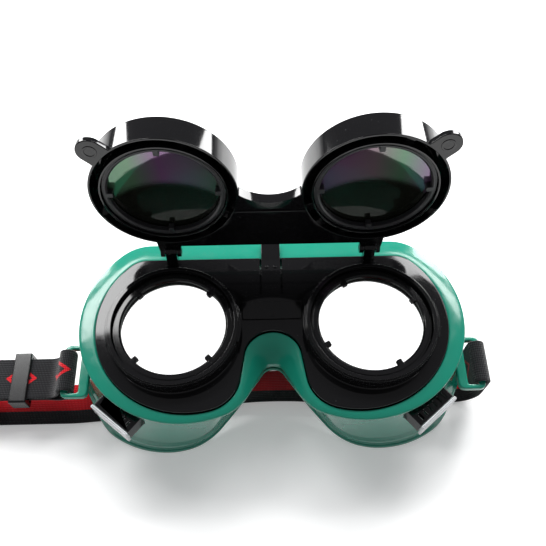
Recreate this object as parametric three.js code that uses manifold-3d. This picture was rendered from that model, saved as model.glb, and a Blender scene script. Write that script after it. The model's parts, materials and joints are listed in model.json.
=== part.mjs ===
// Flip-up welding goggles, lying face up. Millimetres, +Z up, +Y towards the brow, +X to the right.
// The origin is on the surface that the goggles lie on, midway between the lenses.
import * as THREE from 'three';
import { ParametricGeometry } from 'three/addons/geometries/ParametricGeometry.js';
import { mergeVertices } from 'three/addons/utils/BufferGeometryUtils.js';
import Module from 'manifold-3d';

const wasm = await Module();
wasm.setup();

// ---- Driving dimensions -------------------------------------------------------------------
const GAP = 0.3; // clearance between pieces that touch
const LENS_X = 43.1; // each lens axis from the middle plane
const LENS_R = 25; // standard 50 mm round lens
const LENS_T = 2.5;
const VIEW_R = 22.8; // clear opening
const SEAT_BORE = 24; // hole in the front plate, under the rim of each clear lens

const FLANGE_TOP = 42.4;
const FLANGE_T = 2.4;
const LIP_T = 1.2; // lip that holds the front plate down
const LEDGE_Z = 39.4; // ledge that carries the front plate
const LEDGE_T = 2.2;
const GROOVE = 2.2; // depth of the groove that the plate's edge sits in
const WALL = 2.5;
const RIM_LIP = 1.5; // outward roll of the face rim
const NOSE_DIP = 8; // drop of the flange's edge over the nose
const BROW_FLARE = 7; // how far the brow's foot spreads beyond the head outline

const PLATE_TOP = 43.8;
const PLATE_T = 2.5;
const BOSS_TOP = 51.9;
const BOSS_R = 28.9;
const BOSS_BORE = 26.6;
const TONGUE_W = 8.8; // spring tongue between the lenses
const TONGUE_ROOT = 18;
const TONGUE_TIP = 46.5;

const HINGE_X = 45.3;
const HINGE_Y = 37.2;
const HINGE_Z = 51.8;
const PIN_R = 1.2;
const KNUCKLE_R = 2.6;
const POST_W = 5;
const TAB_W = 10.6;
const OPEN_ANGLE = 95; // degrees from closed to the open position shown

const FLIP_Z = 50.5; // rear face of the closed flip frame
const CUP_R = 30.4;
const CUP_WALL = 1.0;
const CUP_DEPTH = 13;
const SEAT_R = 26.1; // outside of the tube that holds the filter lens
const EAR_REACH = 34.5;
const EAR_R = 5.5;
const EAR_ANGLE = -45;
const EAR_T = 2.4;
const FILTER_SEAT = 8; // from the rear face to the shoulder under the filter's gasket
const GASKET_T = 0.8;
const RING_H = 2;
const NUB_W = 2.4;
const NUB_REACH = 2;
const BRIDGE_T = 2.4;
const ARCH_R = 19.3; // nose cut-out of the flip's bridge
const ARCH_TOP = 5;
const ARCH_EDGE = 1.4;

const STRAP_W = 20;
const STRAP_T = 1.4;
const STRAP_Y = -10.5; // middle of the strap's width
const LUG_Z = 25.5;
const LUG_BAR_X = 95;
const LUG_BAR = 3;
const LUG_SLOT_IN = 88.5;
const LUG_ROOT = 84;
const LUG_END = 2.2;
const SLIDER_X = -118;
const SLIDER_L = 8;
const SLIDER_BAR = 1.5;

const VENT_L = 20.5;
const VENT_H = 8;
const VENT_IN = 4.5; // how far the box reaches inside the wall
const VENT_OUT = 6; // and outside it
const VENT_COVER_T = 1.5;
const LOUVRE_PITCH = 2.9;
const LOUVRE_W = 1.6;

const COLOURS = {
  pvc: { color: 0x28806b, roughness: 0.3, metalness: 0 },
  abs: { color: 0x18181a, roughness: 0.15, metalness: 0 },
  clear: { color: 0xe8f2f2, roughness: 0.05, metalness: 0 },
  filter: { color: 0x0a1a12, roughness: 0.05, metalness: 0.2 },
  steel: { color: 0xb8bbc0, roughness: 0.3, metalness: 1 },
  rubber: { color: 0x202020, roughness: 0.8, metalness: 0 },
  cover: { color: 0xd5d7dc, roughness: 0.12, metalness: 0 },
  elastic: { color: 0x2a2224, roughness: 0.9, metalness: 0 },
};

const goggles = new THREE.Group();
const rad = THREE.MathUtils.degToRad;
const sides = { left: -1, right: 1 };

// ---- Solids -------------------------------------------------------------------------------
function toSolid(geometry) {
  const bare = geometry.index ? geometry.toNonIndexed() : geometry.clone();
  bare.deleteAttribute('normal');
  bare.deleteAttribute('uv');
  const merged = mergeVertices(bare, 1e-4);
  const mesh = new wasm.Mesh({
    numProp: 3,
    vertProperties: new Float32Array(merged.attributes.position.array),
    triVerts: new Uint32Array(merged.index.array),
  });
  return new wasm.Manifold(mesh);
}

function toGeometry(solid) {
  const mesh = solid.getMesh();
  const geometry = new THREE.BufferGeometry();
  geometry.setAttribute('position', new THREE.BufferAttribute(new Float32Array(mesh.vertProperties), 3));
  geometry.setIndex(new THREE.BufferAttribute(new Uint32Array(mesh.triVerts), 1));
  geometry.computeVertexNormals();
  return geometry;
}

const join = (...solids) => solids.reduce((sum, solid) => sum.add(solid));
const cut = (solid, ...tools) => tools.reduce((rest, tool) => rest.subtract(tool), solid);

function addMesh(name, shape, finish, parent = goggles) {
  const geometry = shape.isBufferGeometry ? shape : toGeometry(shape);
  const mesh = new THREE.Mesh(geometry, new THREE.MeshStandardMaterial(COLOURS[finish]));
  mesh.name = name;
  parent.add(mesh);
  return mesh;
}

// A block between two corners.
function block(low, high) {
  const size = high.map((value, axis) => value - low[axis]);
  const geometry = new THREE.BoxGeometry(...size);
  geometry.translate(...low.map((value, axis) => value + size[axis] / 2));
  return toSolid(geometry);
}

// A solid of revolution about a vertical axis at (x, y). The profile is a closed list of [radius, z].
function turned(profile, x = 0, y = 0, segments = 48) {
  const points = [...profile, profile[0]].map(([r, z]) => new THREE.Vector2(r, z));
  const geometry = new THREE.LatheGeometry(points, segments);
  geometry.rotateX(Math.PI / 2);
  geometry.translate(x, y, 0);
  const solid = toSolid(geometry);
  return solid.volume() > 0 ? solid : toSolid(flipped(geometry));
}

function flipped(geometry) {
  const loose = geometry.index ? geometry.toNonIndexed() : geometry.clone();
  const position = loose.attributes.position;
  for (let i = 0; i < position.count; i += 3) {
    const b = new THREE.Vector3().fromBufferAttribute(position, i + 1);
    const c = new THREE.Vector3().fromBufferAttribute(position, i + 2);
    position.setXYZ(i + 1, c.x, c.y, c.z);
    position.setXYZ(i + 2, b.x, b.y, b.z);
  }
  return loose;
}

const ring = (inner, outer, low, high, x, segments) =>
  turned([[inner, low], [outer, low], [outer, high], [inner, high]], x, 0, segments);

const disc = (radius, low, high, x, segments) =>
  turned([[0, low], [radius, low], [radius, high], [0, high]], x, 0, segments);

// A plan shape drawn in X and Y, standing between two heights.
function plate(shape, low, high, curveSegments = 12) {
  const options = { depth: high - low, bevelEnabled: false, curveSegments };
  const geometry = new THREE.ExtrudeGeometry(shape, options);
  geometry.translate(0, 0, low);
  return toSolid(geometry);
}

// A side shape drawn in Y and Z, standing between two X values.
function sideways(shape, low, high, curveSegments = 8) {
  const options = { depth: high - low, bevelEnabled: false, curveSegments };
  const geometry = new THREE.ExtrudeGeometry(shape, options);
  geometry.rotateX(Math.PI / 2);
  geometry.rotateZ(Math.PI / 2);
  geometry.translate(low, 0, 0);
  return toSolid(geometry);
}

// A pin along X through (y, z).
function crossPin(radius, low, high, y, z) {
  const geometry = new THREE.CylinderGeometry(radius, radius, high - low, 20);
  geometry.rotateZ(Math.PI / 2);
  geometry.translate((low + high) / 2, y, z);
  return toSolid(geometry);
}

// ---- The two-lobed outline ----------------------------------------------------------------
// Each half is a chain of tangent arcs: level top edge, brow corner, round lobe about the lens,
// cheek corner, straight nose flank, and the nose arch on the middle plane.
const FLANGE = {
  lobeX: 39, lobeY: 6, lobeR: 47.8, top: 47.5, browR: 20, cheekR: 19, noseTop: -13, noseR: 5, flank: 26.7,
};
const OPENING = {
  lobeX: 37, lobeY: 4, lobeR: 42, top: 38, browR: 12, cheekR: 17, noseTop: -0.5, noseR: 12.5, flank: 9,
};
const WALL_TOP = inset(FLANGE, 2);
const WALL_BASE = {
  lobeX: 50, lobeY: 3.5, lobeR: 44.5, top: 46, browR: 26, cheekR: 24, noseTop: -5.5, noseR: 8, flank: 42,
};

function inset(outline, distance) {
  return {
    ...outline,
    lobeR: outline.lobeR - distance,
    top: outline.top - distance,
    browR: outline.browR - distance,
    cheekR: outline.cheekR - distance,
    noseTop: outline.noseTop + distance,
    noseR: outline.noseR + distance,
  };
}

function arc(centre, radius, from, to, steps) {
  return Array.from({ length: steps + 1 }, (_, i) => {
    const angle = from + ((to - from) * i) / steps;
    return new THREE.Vector2(centre.x + radius * Math.cos(angle), centre.y + radius * Math.sin(angle));
  });
}

function halfOutline(o) {
  const flank = rad(o.flank);
  const normal = new THREE.Vector2(Math.cos(flank), Math.sin(flank));
  const lobe = new THREE.Vector2(o.lobeX, o.lobeY);
  const nose = new THREE.Vector2(0, o.noseTop - o.noseR);
  const offset = nose.dot(normal) + o.noseR;

  // The brow corner touches the level top edge and the lobe from inside.
  const browDrop = o.top - o.browR - o.lobeY;
  const browShift = Math.sqrt((o.lobeR - o.browR) ** 2 - browDrop ** 2);
  const brow = new THREE.Vector2(o.lobeX + browShift, o.top - o.browR);

  // The cheek corner touches the nose flank and the lobe from inside.
  const start = normal.clone().multiplyScalar(offset + o.cheekR);
  const along = new THREE.Vector2(normal.y, -normal.x);
  const back = start.clone().sub(lobe);
  const reach = back.dot(along);
  const travel = Math.sqrt(reach ** 2 - back.lengthSq() + (o.lobeR - o.cheekR) ** 2) - reach;
  const cheek = start.clone().addScaledVector(along, travel);

  const browAngle = Math.atan2(brow.y - lobe.y, brow.x - lobe.x);
  const cheekAngle = Math.atan2(cheek.y - lobe.y, cheek.x - lobe.x);
  const flankAngle = flank - Math.PI;
  const cheekRun = cheekAngle > flankAngle ? cheekAngle : cheekAngle + 2 * Math.PI;
  const topLine = [0, 0.25, 0.5, 0.75].map((share) => new THREE.Vector2(brow.x * share, o.top));
  return [
    ...topLine,
    ...arc(brow, o.browR, Math.PI / 2, browAngle, 6),
    ...arc(lobe, o.lobeR, browAngle, cheekAngle, 16).slice(1),
    ...arc(cheek, o.cheekR, cheekRun, flankAngle, 7).slice(1),
    ...arc(nose, o.noseR, flank, Math.PI / 2, 6),
  ];
}

function outlinePoints(o) {
  const right = halfOutline(o);
  const left = right.slice(1, -1).reverse().map((p) => new THREE.Vector2(-p.x, p.y));
  return [...right, ...left];
}

const outlineShape = (o) => new THREE.Shape(outlinePoints(o));

// ---- Mask body ----------------------------------------------------------------------------
// Height of the face rim: flat on the cheeks, arched over the nose, the brow and the temples.
function rimHeight(x, y) {
  const noseSide = THREE.MathUtils.smoothstep(20 - y, 0, 30);
  const nose = 21 * Math.exp(-((x / 25) ** 2)) * noseSide;
  const brow = 7 * Math.exp(-((x / 45) ** 2)) * (1 - noseSide);
  const templeSide = THREE.MathUtils.smoothstep(Math.abs(x), 66, 78);
  const temple = 13 * Math.exp(-(((y - STRAP_Y) / 17) ** 4)) * templeSide;
  return Math.max(0, nose + brow + temple - 0.6);
}

// How far the flange's free edge dips towards the face over the nose.
function noseDip(x, y) {
  return NOSE_DIP * Math.exp(-((x / 10) ** 2)) * THREE.MathUtils.smoothstep(-y, -5, 5);
}

// The wall's foot spreads towards the brow.
const flareBrow = (p) => new THREE.Vector2(p.x, p.y + BROW_FLARE * THREE.MathUtils.smoothstep(p.y, 12, 46));

// One ring of the shell's cross-section. A number is a height; a wall ring states how far down
// the wall it is, from 0 under the flange to 1 at the face rim.
function shellRings() {
  const lipZ = FLANGE_TOP - LIP_T;
  const groove = inset(OPENING, -GROOVE);
  const ledge = inset(OPENING, GROOVE);
  const underLedge = LEDGE_Z - LEDGE_T;
  const level = (outline, z) => ({ points: outlinePoints(outline), z: () => z });
  const edge = (z) => ({ points: outlinePoints(FLANGE), z: (p) => z - noseDip(p.x, p.y) });
  const wall = (down, distance, top, lift = 0) => {
    const heads = outlinePoints(inset(WALL_TOP, distance));
    const feet = outlinePoints(inset(WALL_BASE, distance)).map(flareBrow);
    const heights = heads.map((head, i) => {
      const headZ = top - noseDip(head.x, head.y);
      return headZ * (1 - down) + (rimHeight(feet[i].x, feet[i].y) + lift) * down;
    });
    const points = heads.map((head, i) => head.clone().lerp(feet[i], (top - heights[i]) / top));
    return { points, z: (_, i) => heights[i] };
  };
  const underFlange = FLANGE_TOP - FLANGE_T;
  return [
    edge(FLANGE_TOP),
    level(OPENING, FLANGE_TOP),
    level(OPENING, lipZ),
    level(groove, lipZ),
    level(groove, LEDGE_Z),
    level(ledge, LEDGE_Z),
    level(ledge, underLedge),
    ...[0, 0.3, 0.6, 0.85, 1].map((down) => wall(down, WALL, underLedge)),
    wall(1, -RIM_LIP, underFlange),
    wall(1, -RIM_LIP, underFlange, 2),
    wall(1, 0, underFlange, 2.6),
    ...[0.85, 0.6, 0.3, 0].map((down) => wall(down, 0, underFlange)),
    edge(underFlange),
  ];
}

function maskShell() {
  const rings = shellRings();
  const around = rings[0].points.length;
  const surface = (u, v, target) => {
    const section = rings[Math.round(v * rings.length) % rings.length];
    const index = Math.round(u * around) % around;
    const point = section.points[index];
    target.set(point.x, point.y, section.z(point, index));
  };
  const geometry = new ParametricGeometry(surface, around, rings.length);
  const solid = toSolid(geometry);
  return solid.volume() > 0 ? solid : toSolid(flipped(geometry));
}

// A rectangular loop on the temple that the strap folds over.
function lug(side) {
  const half = STRAP_W / 2 + 0.8;
  const barHalf = LUG_BAR / 2;
  const end = half + LUG_END;
  const low = [LUG_ROOT, STRAP_Y - end, LUG_Z - barHalf];
  const frame = block(low, [LUG_BAR_X + barHalf, STRAP_Y + end, LUG_Z + barHalf]);
  const slotLow = [LUG_SLOT_IN, STRAP_Y - half, LUG_Z - LUG_BAR];
  const slot = block(slotLow, [LUG_BAR_X - barHalf, STRAP_Y + half, LUG_Z + LUG_BAR]);
  const loop = cut(frame, slot);
  return side < 0 ? loop.mirror([1, 0, 0]) : loop;
}

// ---- Vents --------------------------------------------------------------------------------
// Each vent is a box plugged through the wall, turned to the wall's outward direction.
const VENTS = {
  lower_right: { x: 66.3, y: -31.9, z: 31.5, turn: -50 },
  upper_right: { x: 52, y: 46.2, z: 18.6, turn: 90 },
  lower_left: { x: -66.3, y: -31.9, z: 31.5, turn: -130 },
  upper_left: { x: -52, y: 46.2, z: 18.6, turn: 90 },
};

// Local frame of a vent: +X points out of the wall, Y runs along it.
function placeVent(solid, vent) {
  return solid.rotate([0, 0, vent.turn]).translate([vent.x, vent.y, vent.z]);
}

function ventBlock(inward, outward, length, height, vent) {
  const low = [-inward, -length / 2, -height / 2];
  const high = [outward, length / 2, height / 2];
  return placeVent(block(low, high), vent);
}

function ventBody(vent) {
  const slotLow = 1.4;
  const slotHigh = VENT_OUT - 1.2;
  const slots = [-2.5, -1.5, -0.5, 0.5, 1.5, 2.5].map((step) => {
    const along = step * LOUVRE_PITCH;
    const half = LOUVRE_W / 2;
    return placeVent(block([slotLow, along - half, -VENT_H], [slotHigh, along + half, VENT_H]), vent);
  });
  const passage = ventBlock(2 * VENT_IN, slotHigh, VENT_L - 4, VENT_H - 3.2, vent);
  return cut(ventBlock(VENT_IN, VENT_OUT, VENT_L, VENT_H, vent), passage, ...slots);
}

function ventCover(vent) {
  const inner = VENT_OUT + GAP;
  return ventBlock(-inner, inner + VENT_COVER_T, VENT_L + 0.8, VENT_H + 0.8, vent);
}

function maskBody() {
  const sockets = Object.values(VENTS).map((vent) =>
    ventBlock(VENT_IN + 2.5, VENT_OUT + 1, VENT_L + 2 * GAP, VENT_H + 2 * GAP, vent));
  const solid = join(maskShell(), lug(-1), lug(1));
  return cut(solid, ...sockets);
}

// ---- Front plate --------------------------------------------------------------------------
const sideShape = (points) => new THREE.Shape(points.map(([y, z]) => new THREE.Vector2(y, z)));

function hingePost(x) {
  const foot = PLATE_TOP - 1;
  const head = KNUCKLE_R - 0.2;
  const shape = sideShape([[HINGE_Y - 3.8, foot], [HINGE_Y + 0.4, foot], [HINGE_Y + head, HINGE_Z]]);
  shape.absarc(HINGE_Y, HINGE_Z, head, 0, Math.PI, false);
  return sideways(shape, x - POST_W / 2, x + POST_W / 2);
}

// The tongue rises over the flange towards its tip.
function springTongue() {
  const rise = HINGE_Y - 1.2;
  const shape = sideShape([
    [rise, PLATE_TOP - 1.4], [TONGUE_TIP, PLATE_TOP - 0.4], [TONGUE_TIP, PLATE_TOP + 1.2],
    [rise + 4, PLATE_TOP + 0.5], [rise, PLATE_TOP],
  ]);
  return sideways(shape, -TONGUE_W / 2, TONGUE_W / 2);
}

// A raised bar joins the two bosses.
function bossBar() {
  const half = 13.4;
  return block([-half, 5.1, PLATE_TOP - 1], [half, 14, PLATE_TOP + 0.8]);
}

function frontPlate() {
  const edgeTop = FLANGE_TOP - LIP_T - GAP;
  const base = plate(outlineShape(inset(OPENING, -GROOVE + GAP)), LEDGE_Z + GAP, edgeTop);
  const face = plate(outlineShape(inset(OPENING, GAP)), LEDGE_Z + GAP, PLATE_TOP);
  const hollow = plate(outlineShape(inset(OPENING, 4)), LEDGE_Z - 1, PLATE_TOP - PLATE_T);
  const slits = [-1, 1].map((side) => {
    const half = 0.4;
    const x = side * (TONGUE_W / 2 + half);
    return block([x - half, TONGUE_ROOT, LEDGE_Z], [x + half, TONGUE_TIP + 4, PLATE_TOP + 1]);
  });
  const holes = [-LENS_X, LENS_X].map((x) => disc(SEAT_BORE, LEDGE_Z - 1, BOSS_TOP, x));
  const bosses = [-LENS_X, LENS_X].map((x) => ring(BOSS_BORE, BOSS_R, PLATE_TOP - 1, BOSS_TOP, x));
  const posts = [-HINGE_X, HINGE_X].map(hingePost);
  const bores = crossPin(PIN_R + GAP, -60, 60, HINGE_Y, HINGE_Z);
  const sheet = cut(join(base, face), hollow, ...slits, ...holes);
  return cut(join(sheet, ...bosses, ...posts, bossBar(), springTongue()), bores);
}

// A screw ring with four nubs that a finger or key turns.
function screwRing(inner, outer, low, high, x, nubStart) {
  const nubs = [0, 90, 180, 270].map((angle) => {
    const nub = block([inner - NUB_REACH, -NUB_W / 2, low], [inner + 1, NUB_W / 2, high]);
    return nub.rotate([0, 0, angle + nubStart]).translate([x, 0, 0]);
  });
  return join(ring(inner, outer, low, high, x), ...nubs);
}

function addLensStack(name, side) {
  const x = side * LENS_X;
  const gasketLow = PLATE_TOP + GAP;
  const lensLow = gasketLow + GASKET_T + GAP;
  const ringLow = lensLow + LENS_T + GAP;
  addMesh(`lens_gasket_${name}`, ring(SEAT_BORE + 0.2, LENS_R, gasketLow, gasketLow + GASKET_T, x), 'rubber');
  addMesh(`clear_lens_${name}`, disc(LENS_R, lensLow, lensLow + LENS_T, x), 'clear');
  const nubStart = side < 0 ? 45 : 28;
  const lensRing = screwRing(VIEW_R, BOSS_BORE - GAP, ringLow, ringLow + RING_H, x, nubStart);
  addMesh(`lens_ring_${name}`, lensRing, 'abs');
}

// ---- Flip frame, drawn closed and then opened about the hinge ------------------------------
function cup(x) {
  const front = FLIP_Z + CUP_DEPTH;
  const web = front - 2.2;
  const seat = FLIP_Z + FILTER_SEAT;
  const bore = SEAT_R - 0.8;
  return turned([
    [CUP_R - CUP_WALL, FLIP_Z], [CUP_R, FLIP_Z], [CUP_R, front - 1], [CUP_R - 1, front], [VIEW_R + 3, front],
    [VIEW_R, seat + 1.6], [VIEW_R, seat], [bore, seat], [bore, FLIP_Z], [SEAT_R, FLIP_Z],
    [SEAT_R, web], [CUP_R - CUP_WALL, web],
  ], x);
}

const insideCups = (low, high) => [-LENS_X, LENS_X].map((x) => disc(CUP_R - 0.5, low, high, x));

// A slab with a raised rail joins the cups, and an arch with a deep edge clears the nose.
function bridge() {
  const low = FLIP_Z;
  const slab = block([-LENS_X, -4, low], [LENS_X, 32.4, low + BRIDGE_T]);
  const rail = block([-LENS_X, 9.4, low - 0.8], [LENS_X, 22.7, low + 1]);
  const archY = ARCH_TOP - ARCH_R;
  const arch = disc(ARCH_R, low - 1, low + 9, 0).translate([0, archY, 0]);
  const rim = ring(ARCH_R, ARCH_R + ARCH_EDGE, low, low + 5, 0).translate([0, archY, 0]);
  const belowArch = block([-LENS_X, -LENS_X, low - 1], [LENS_X, -6, low + 9]);
  return cut(join(cut(join(slab, rail), arch), cut(rim, belowArch)), ...insideCups(low - 2, low + 10));
}

function hingeTab(x) {
  const low = FLIP_Z;
  const root = TAB_W / 2 + 0.3;
  const tip = TAB_W / 2 - 0.6;
  const shape = sideShape([[-root, 28], [root, 28], [tip, HINGE_Y], [-tip, HINGE_Y]]);
  const tab = plate(shape, low - 0.1, low + 2.8).translate([x, 0, 0]);
  const cheeks = crossPin(KNUCKLE_R, x - tip, x + tip, HINGE_Y, HINGE_Z);
  const half = POST_W / 2 + GAP;
  const roomStart = HINGE_Y - KNUCKLE_R - 0.9;
  const room = block([x - half, roomStart, low - 4], [x + half, HINGE_Y + 5, low + 6]);
  return cut(join(tab, cheeks), room, ...insideCups(low - 2, low + 6));
}

function ear(side) {
  const angle = rad(EAR_ANGLE);
  const low = FLIP_Z;
  const tip = disc(EAR_R, low, low + EAR_T, 0, 32)
    .translate([side * EAR_REACH * Math.cos(angle), EAR_REACH * Math.sin(angle), 0]);
  const neck = block([CUP_R - 3, -EAR_R, low], [EAR_REACH, EAR_R, low + EAR_T]);
  const turn = side > 0 ? EAR_ANGLE : 180 - EAR_ANGLE;
  const whole = join(tip, neck.rotate([0, 0, turn])).translate([side * LENS_X, 0, 0]);
  return cut(whole, ...insideCups(low - 2, low + 6));
}

function flipFrame() {
  const cups = [-LENS_X, LENS_X].map(cup);
  const tabs = [-HINGE_X, HINGE_X].map(hingeTab);
  const whole = join(...cups, bridge(), ...tabs, ear(-1), ear(1));
  return cut(whole, crossPin(PIN_R + GAP, -60, 60, HINGE_Y, HINGE_Z));
}

function addFlip() {
  const hinge = new THREE.Group();
  const flip = new THREE.Group();
  hinge.position.set(0, HINGE_Y, HINGE_Z);
  hinge.rotation.x = -rad(OPEN_ANGLE);
  flip.position.set(0, -HINGE_Y, -HINGE_Z);
  hinge.add(flip);
  goggles.add(hinge);

  addMesh('flip_frame', flipFrame(), 'abs', flip);
  const inner = SEAT_R - 0.8;
  const seat = FLIP_Z + FILTER_SEAT;
  for (const [name, side] of Object.entries(sides)) {
    const x = side * LENS_X;
    const gasketLow = seat - GAP - GASKET_T;
    const lensLow = gasketLow - GAP - LENS_T;
    const ringHigh = lensLow - GAP;
    const gasket = ring(VIEW_R + 0.4, LENS_R, gasketLow, gasketLow + GASKET_T, x);
    addMesh(`filter_gasket_${name}`, gasket, 'rubber', flip);
    addMesh(`filter_lens_${name}`, disc(LENS_R, lensLow, lensLow + LENS_T, x), 'filter', flip);
    const filterRing = screwRing(VIEW_R, inner - GAP, FLIP_Z + 0.8, ringHigh, x, 0);
    addMesh(`filter_ring_${name}`, filterRing, 'abs', flip);
    const pinX = side * HINGE_X;
    const reach = TAB_W / 2 - 0.9;
    const pin = crossPin(PIN_R, pinX - reach, pinX + reach, HINGE_Y, HINGE_Z);
    addMesh(`hinge_pin_${name}`, pin, 'steel', flip);
  }
}

// ---- Strap --------------------------------------------------------------------------------
// The strap's middle line, drawn in X and Z: sewn end inside the right loop, over the right lug bar,
// down to the surface, flat under the mask, round the left bend, back over the left lug bar, and out
// below itself to the tail.
const FOLD_R = 3.2;
const RUN_Z = STRAP_T / 2;
const TAIL_Z = 14.7;
const RETURN_Z = 18.4;
const BEND_X = -132;
const TAIL_END = -135;

function strapLine() {
  const path = new THREE.Path();
  const inner = LUG_BAR_X - FOLD_R;
  const outer = LUG_BAR_X + FOLD_R;
  const dropR = 11.3;
  path.moveTo(inner, LUG_Z - 8);
  path.lineTo(inner, LUG_Z);
  path.absarc(LUG_BAR_X, LUG_Z, FOLD_R, Math.PI, 0, true);
  path.lineTo(outer, RUN_Z + dropR);
  path.absarc(outer - dropR, RUN_Z + dropR, dropR, 0, -Math.PI / 2, true);
  path.lineTo(BEND_X, RUN_Z);
  const bendR = (RETURN_Z - RUN_Z) / 2;
  path.absarc(BEND_X, RUN_Z + bendR, bendR, -Math.PI / 2, -1.5 * Math.PI, true);
  const riseR = LUG_Z - RETURN_Z;
  path.lineTo(-outer - riseR, RETURN_Z);
  path.absarc(-outer - riseR, LUG_Z, riseR, -Math.PI / 2, 0, false);
  path.absarc(-LUG_BAR_X, LUG_Z, FOLD_R, Math.PI, 0, true);
  const tailR = LUG_Z - TAIL_Z;
  path.absarc(-inner - tailR, LUG_Z, tailR, 0, -Math.PI / 2, true);
  path.lineTo(TAIL_END, TAIL_Z);
  return path;
}

// The direction of a line of points at one of them, from its neighbours on both sides.
function directionAt(points, i) {
  const before = points[Math.max(i - 1, 0)];
  const after = points[Math.min(i + 1, points.length - 1)];
  const arriving = points[i].clone().sub(before).normalize();
  const leaving = after.clone().sub(points[i]).normalize();
  return arriving.add(leaving).normalize();
}

// The strip's outline is the middle line moved half a thickness to each side.
function strap() {
  const line = strapLine().getPoints(7);
  const points = line.filter((p, i) => i === 0 || p.distanceTo(line[i - 1]) > 1e-3);
  const offset = (distance) => points.map((p, i) => {
    const along = directionAt(points, i);
    return new THREE.Vector2(p.x - along.y * distance, p.y + along.x * distance);
  });
  const outline = [...offset(STRAP_T / 2), ...offset(-STRAP_T / 2).reverse()];
  const options = { depth: STRAP_W, bevelEnabled: false };
  const geometry = new THREE.ExtrudeGeometry(new THREE.Shape(outline), options);
  geometry.rotateX(Math.PI / 2);
  geometry.translate(0, STRAP_Y + STRAP_W / 2, 0);
  return toSolid(geometry);
}

// A moulded slider with a bar under, between and over the two layers of the strap.
function slider() {
  const wide = STRAP_W / 2 + 0.6;
  const end = wide + 2;
  const half = SLIDER_L / 2;
  const low = TAIL_Z - STRAP_T / 2 - SLIDER_BAR;
  const high = RETURN_Z + STRAP_T / 2 + SLIDER_BAR;
  const body = block([SLIDER_X - half, STRAP_Y - end, low], [SLIDER_X + half, STRAP_Y + end, high]);
  const slots = [TAIL_Z, RETURN_Z].map((z) => {
    const room = STRAP_T / 2 + 0.35;
    const slotLow = [SLIDER_X - SLIDER_L, STRAP_Y - wide, z - room];
    return block(slotLow, [SLIDER_X + SLIDER_L, STRAP_Y + wide, z + room]);
  });
  return cut(body, ...slots);
}

// ---- Assembly -----------------------------------------------------------------------------
addMesh('mask_body', maskBody(), 'pvc');
addMesh('front_plate', frontPlate(), 'abs');
for (const [name, side] of Object.entries(sides)) addLensStack(name, side);
for (const [name, vent] of Object.entries(VENTS)) {
  addMesh(`vent_body_${name}`, ventBody(vent), 'abs');
  addMesh(`vent_cover_${name}`, ventCover(vent), 'cover');
}
addFlip();
addMesh('strap', strap(), 'elastic');
addMesh('strap_slider', slider(), 'abs');

export default goggles;
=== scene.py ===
import json
import math

import bmesh
import bpy
import numpy as np
from mathutils import Matrix, Vector


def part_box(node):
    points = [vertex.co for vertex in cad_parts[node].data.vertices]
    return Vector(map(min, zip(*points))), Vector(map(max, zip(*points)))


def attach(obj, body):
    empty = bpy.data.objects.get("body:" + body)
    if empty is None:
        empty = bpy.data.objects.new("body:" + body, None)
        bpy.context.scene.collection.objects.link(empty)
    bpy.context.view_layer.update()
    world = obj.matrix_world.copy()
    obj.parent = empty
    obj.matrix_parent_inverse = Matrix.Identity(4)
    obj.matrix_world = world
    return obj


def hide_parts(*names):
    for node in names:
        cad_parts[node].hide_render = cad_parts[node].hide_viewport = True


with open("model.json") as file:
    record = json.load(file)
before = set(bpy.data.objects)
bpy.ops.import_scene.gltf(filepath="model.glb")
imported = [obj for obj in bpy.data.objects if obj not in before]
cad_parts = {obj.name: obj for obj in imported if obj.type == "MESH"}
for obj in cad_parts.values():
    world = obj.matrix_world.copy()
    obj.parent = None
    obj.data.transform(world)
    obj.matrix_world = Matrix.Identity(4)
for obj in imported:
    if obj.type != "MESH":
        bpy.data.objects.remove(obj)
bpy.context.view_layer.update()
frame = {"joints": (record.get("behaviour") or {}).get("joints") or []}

bl_info = {
    "name": "Flip-up welding goggles",
    "version": (1, 0, 0),
    "blender": (4, 5, 0),
    "location": "3D View > Sidebar > Goggles",
    "description": "Builds the finished pieces of a pair of welding goggles around their packed frame",
    "category": "Object",
}

# ---- Places and sizes, in millimetres -------------------------------------------------------
MM = 0.001


def node_box(node):
    """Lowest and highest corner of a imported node, in millimetres."""
    low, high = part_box(node)
    return np.array(low) / MM, np.array(high) / MM


def joint_named(name):
    return next(joint for joint in frame["joints"] if joint["name"] == name)


LENS_LOW, LENS_HIGH = node_box("clear_lens_right")
LENS_X = (LENS_LOW[0] + LENS_HIGH[0]) / 2
LENS_R = (LENS_HIGH[1] - LENS_LOW[1]) / 2
RING_LOW, RING_HIGH = node_box("lens_ring_right")
RING_R = (RING_HIGH[1] - RING_LOW[1]) / 2
GASKET_LOW = node_box("lens_gasket_right")[0]
FLANGE_TOP = node_box("mask_body")[1][2]
PLATE_LOW = node_box("front_plate")[0][2]
HINGE_X = node_box("hinge_pin_right")[0][0] + 4.4
HINGE_Y, HINGE_Z = np.array(joint_named("flip_hinge")["pos_m"][1:]) / MM
TURN_AXIS = joint_named("filter_ring_turn_right")["axis"]
OPEN_ANGLE = math.atan2(TURN_AXIS[1], TURN_AXIS[2])
STRAP_LOW, STRAP_HIGH = node_box("strap")
STRAP_Y = (STRAP_HIGH[1] + STRAP_LOW[1]) / 2
SLIDER_LOW, SLIDER_HIGH = node_box("strap_slider")

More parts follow.
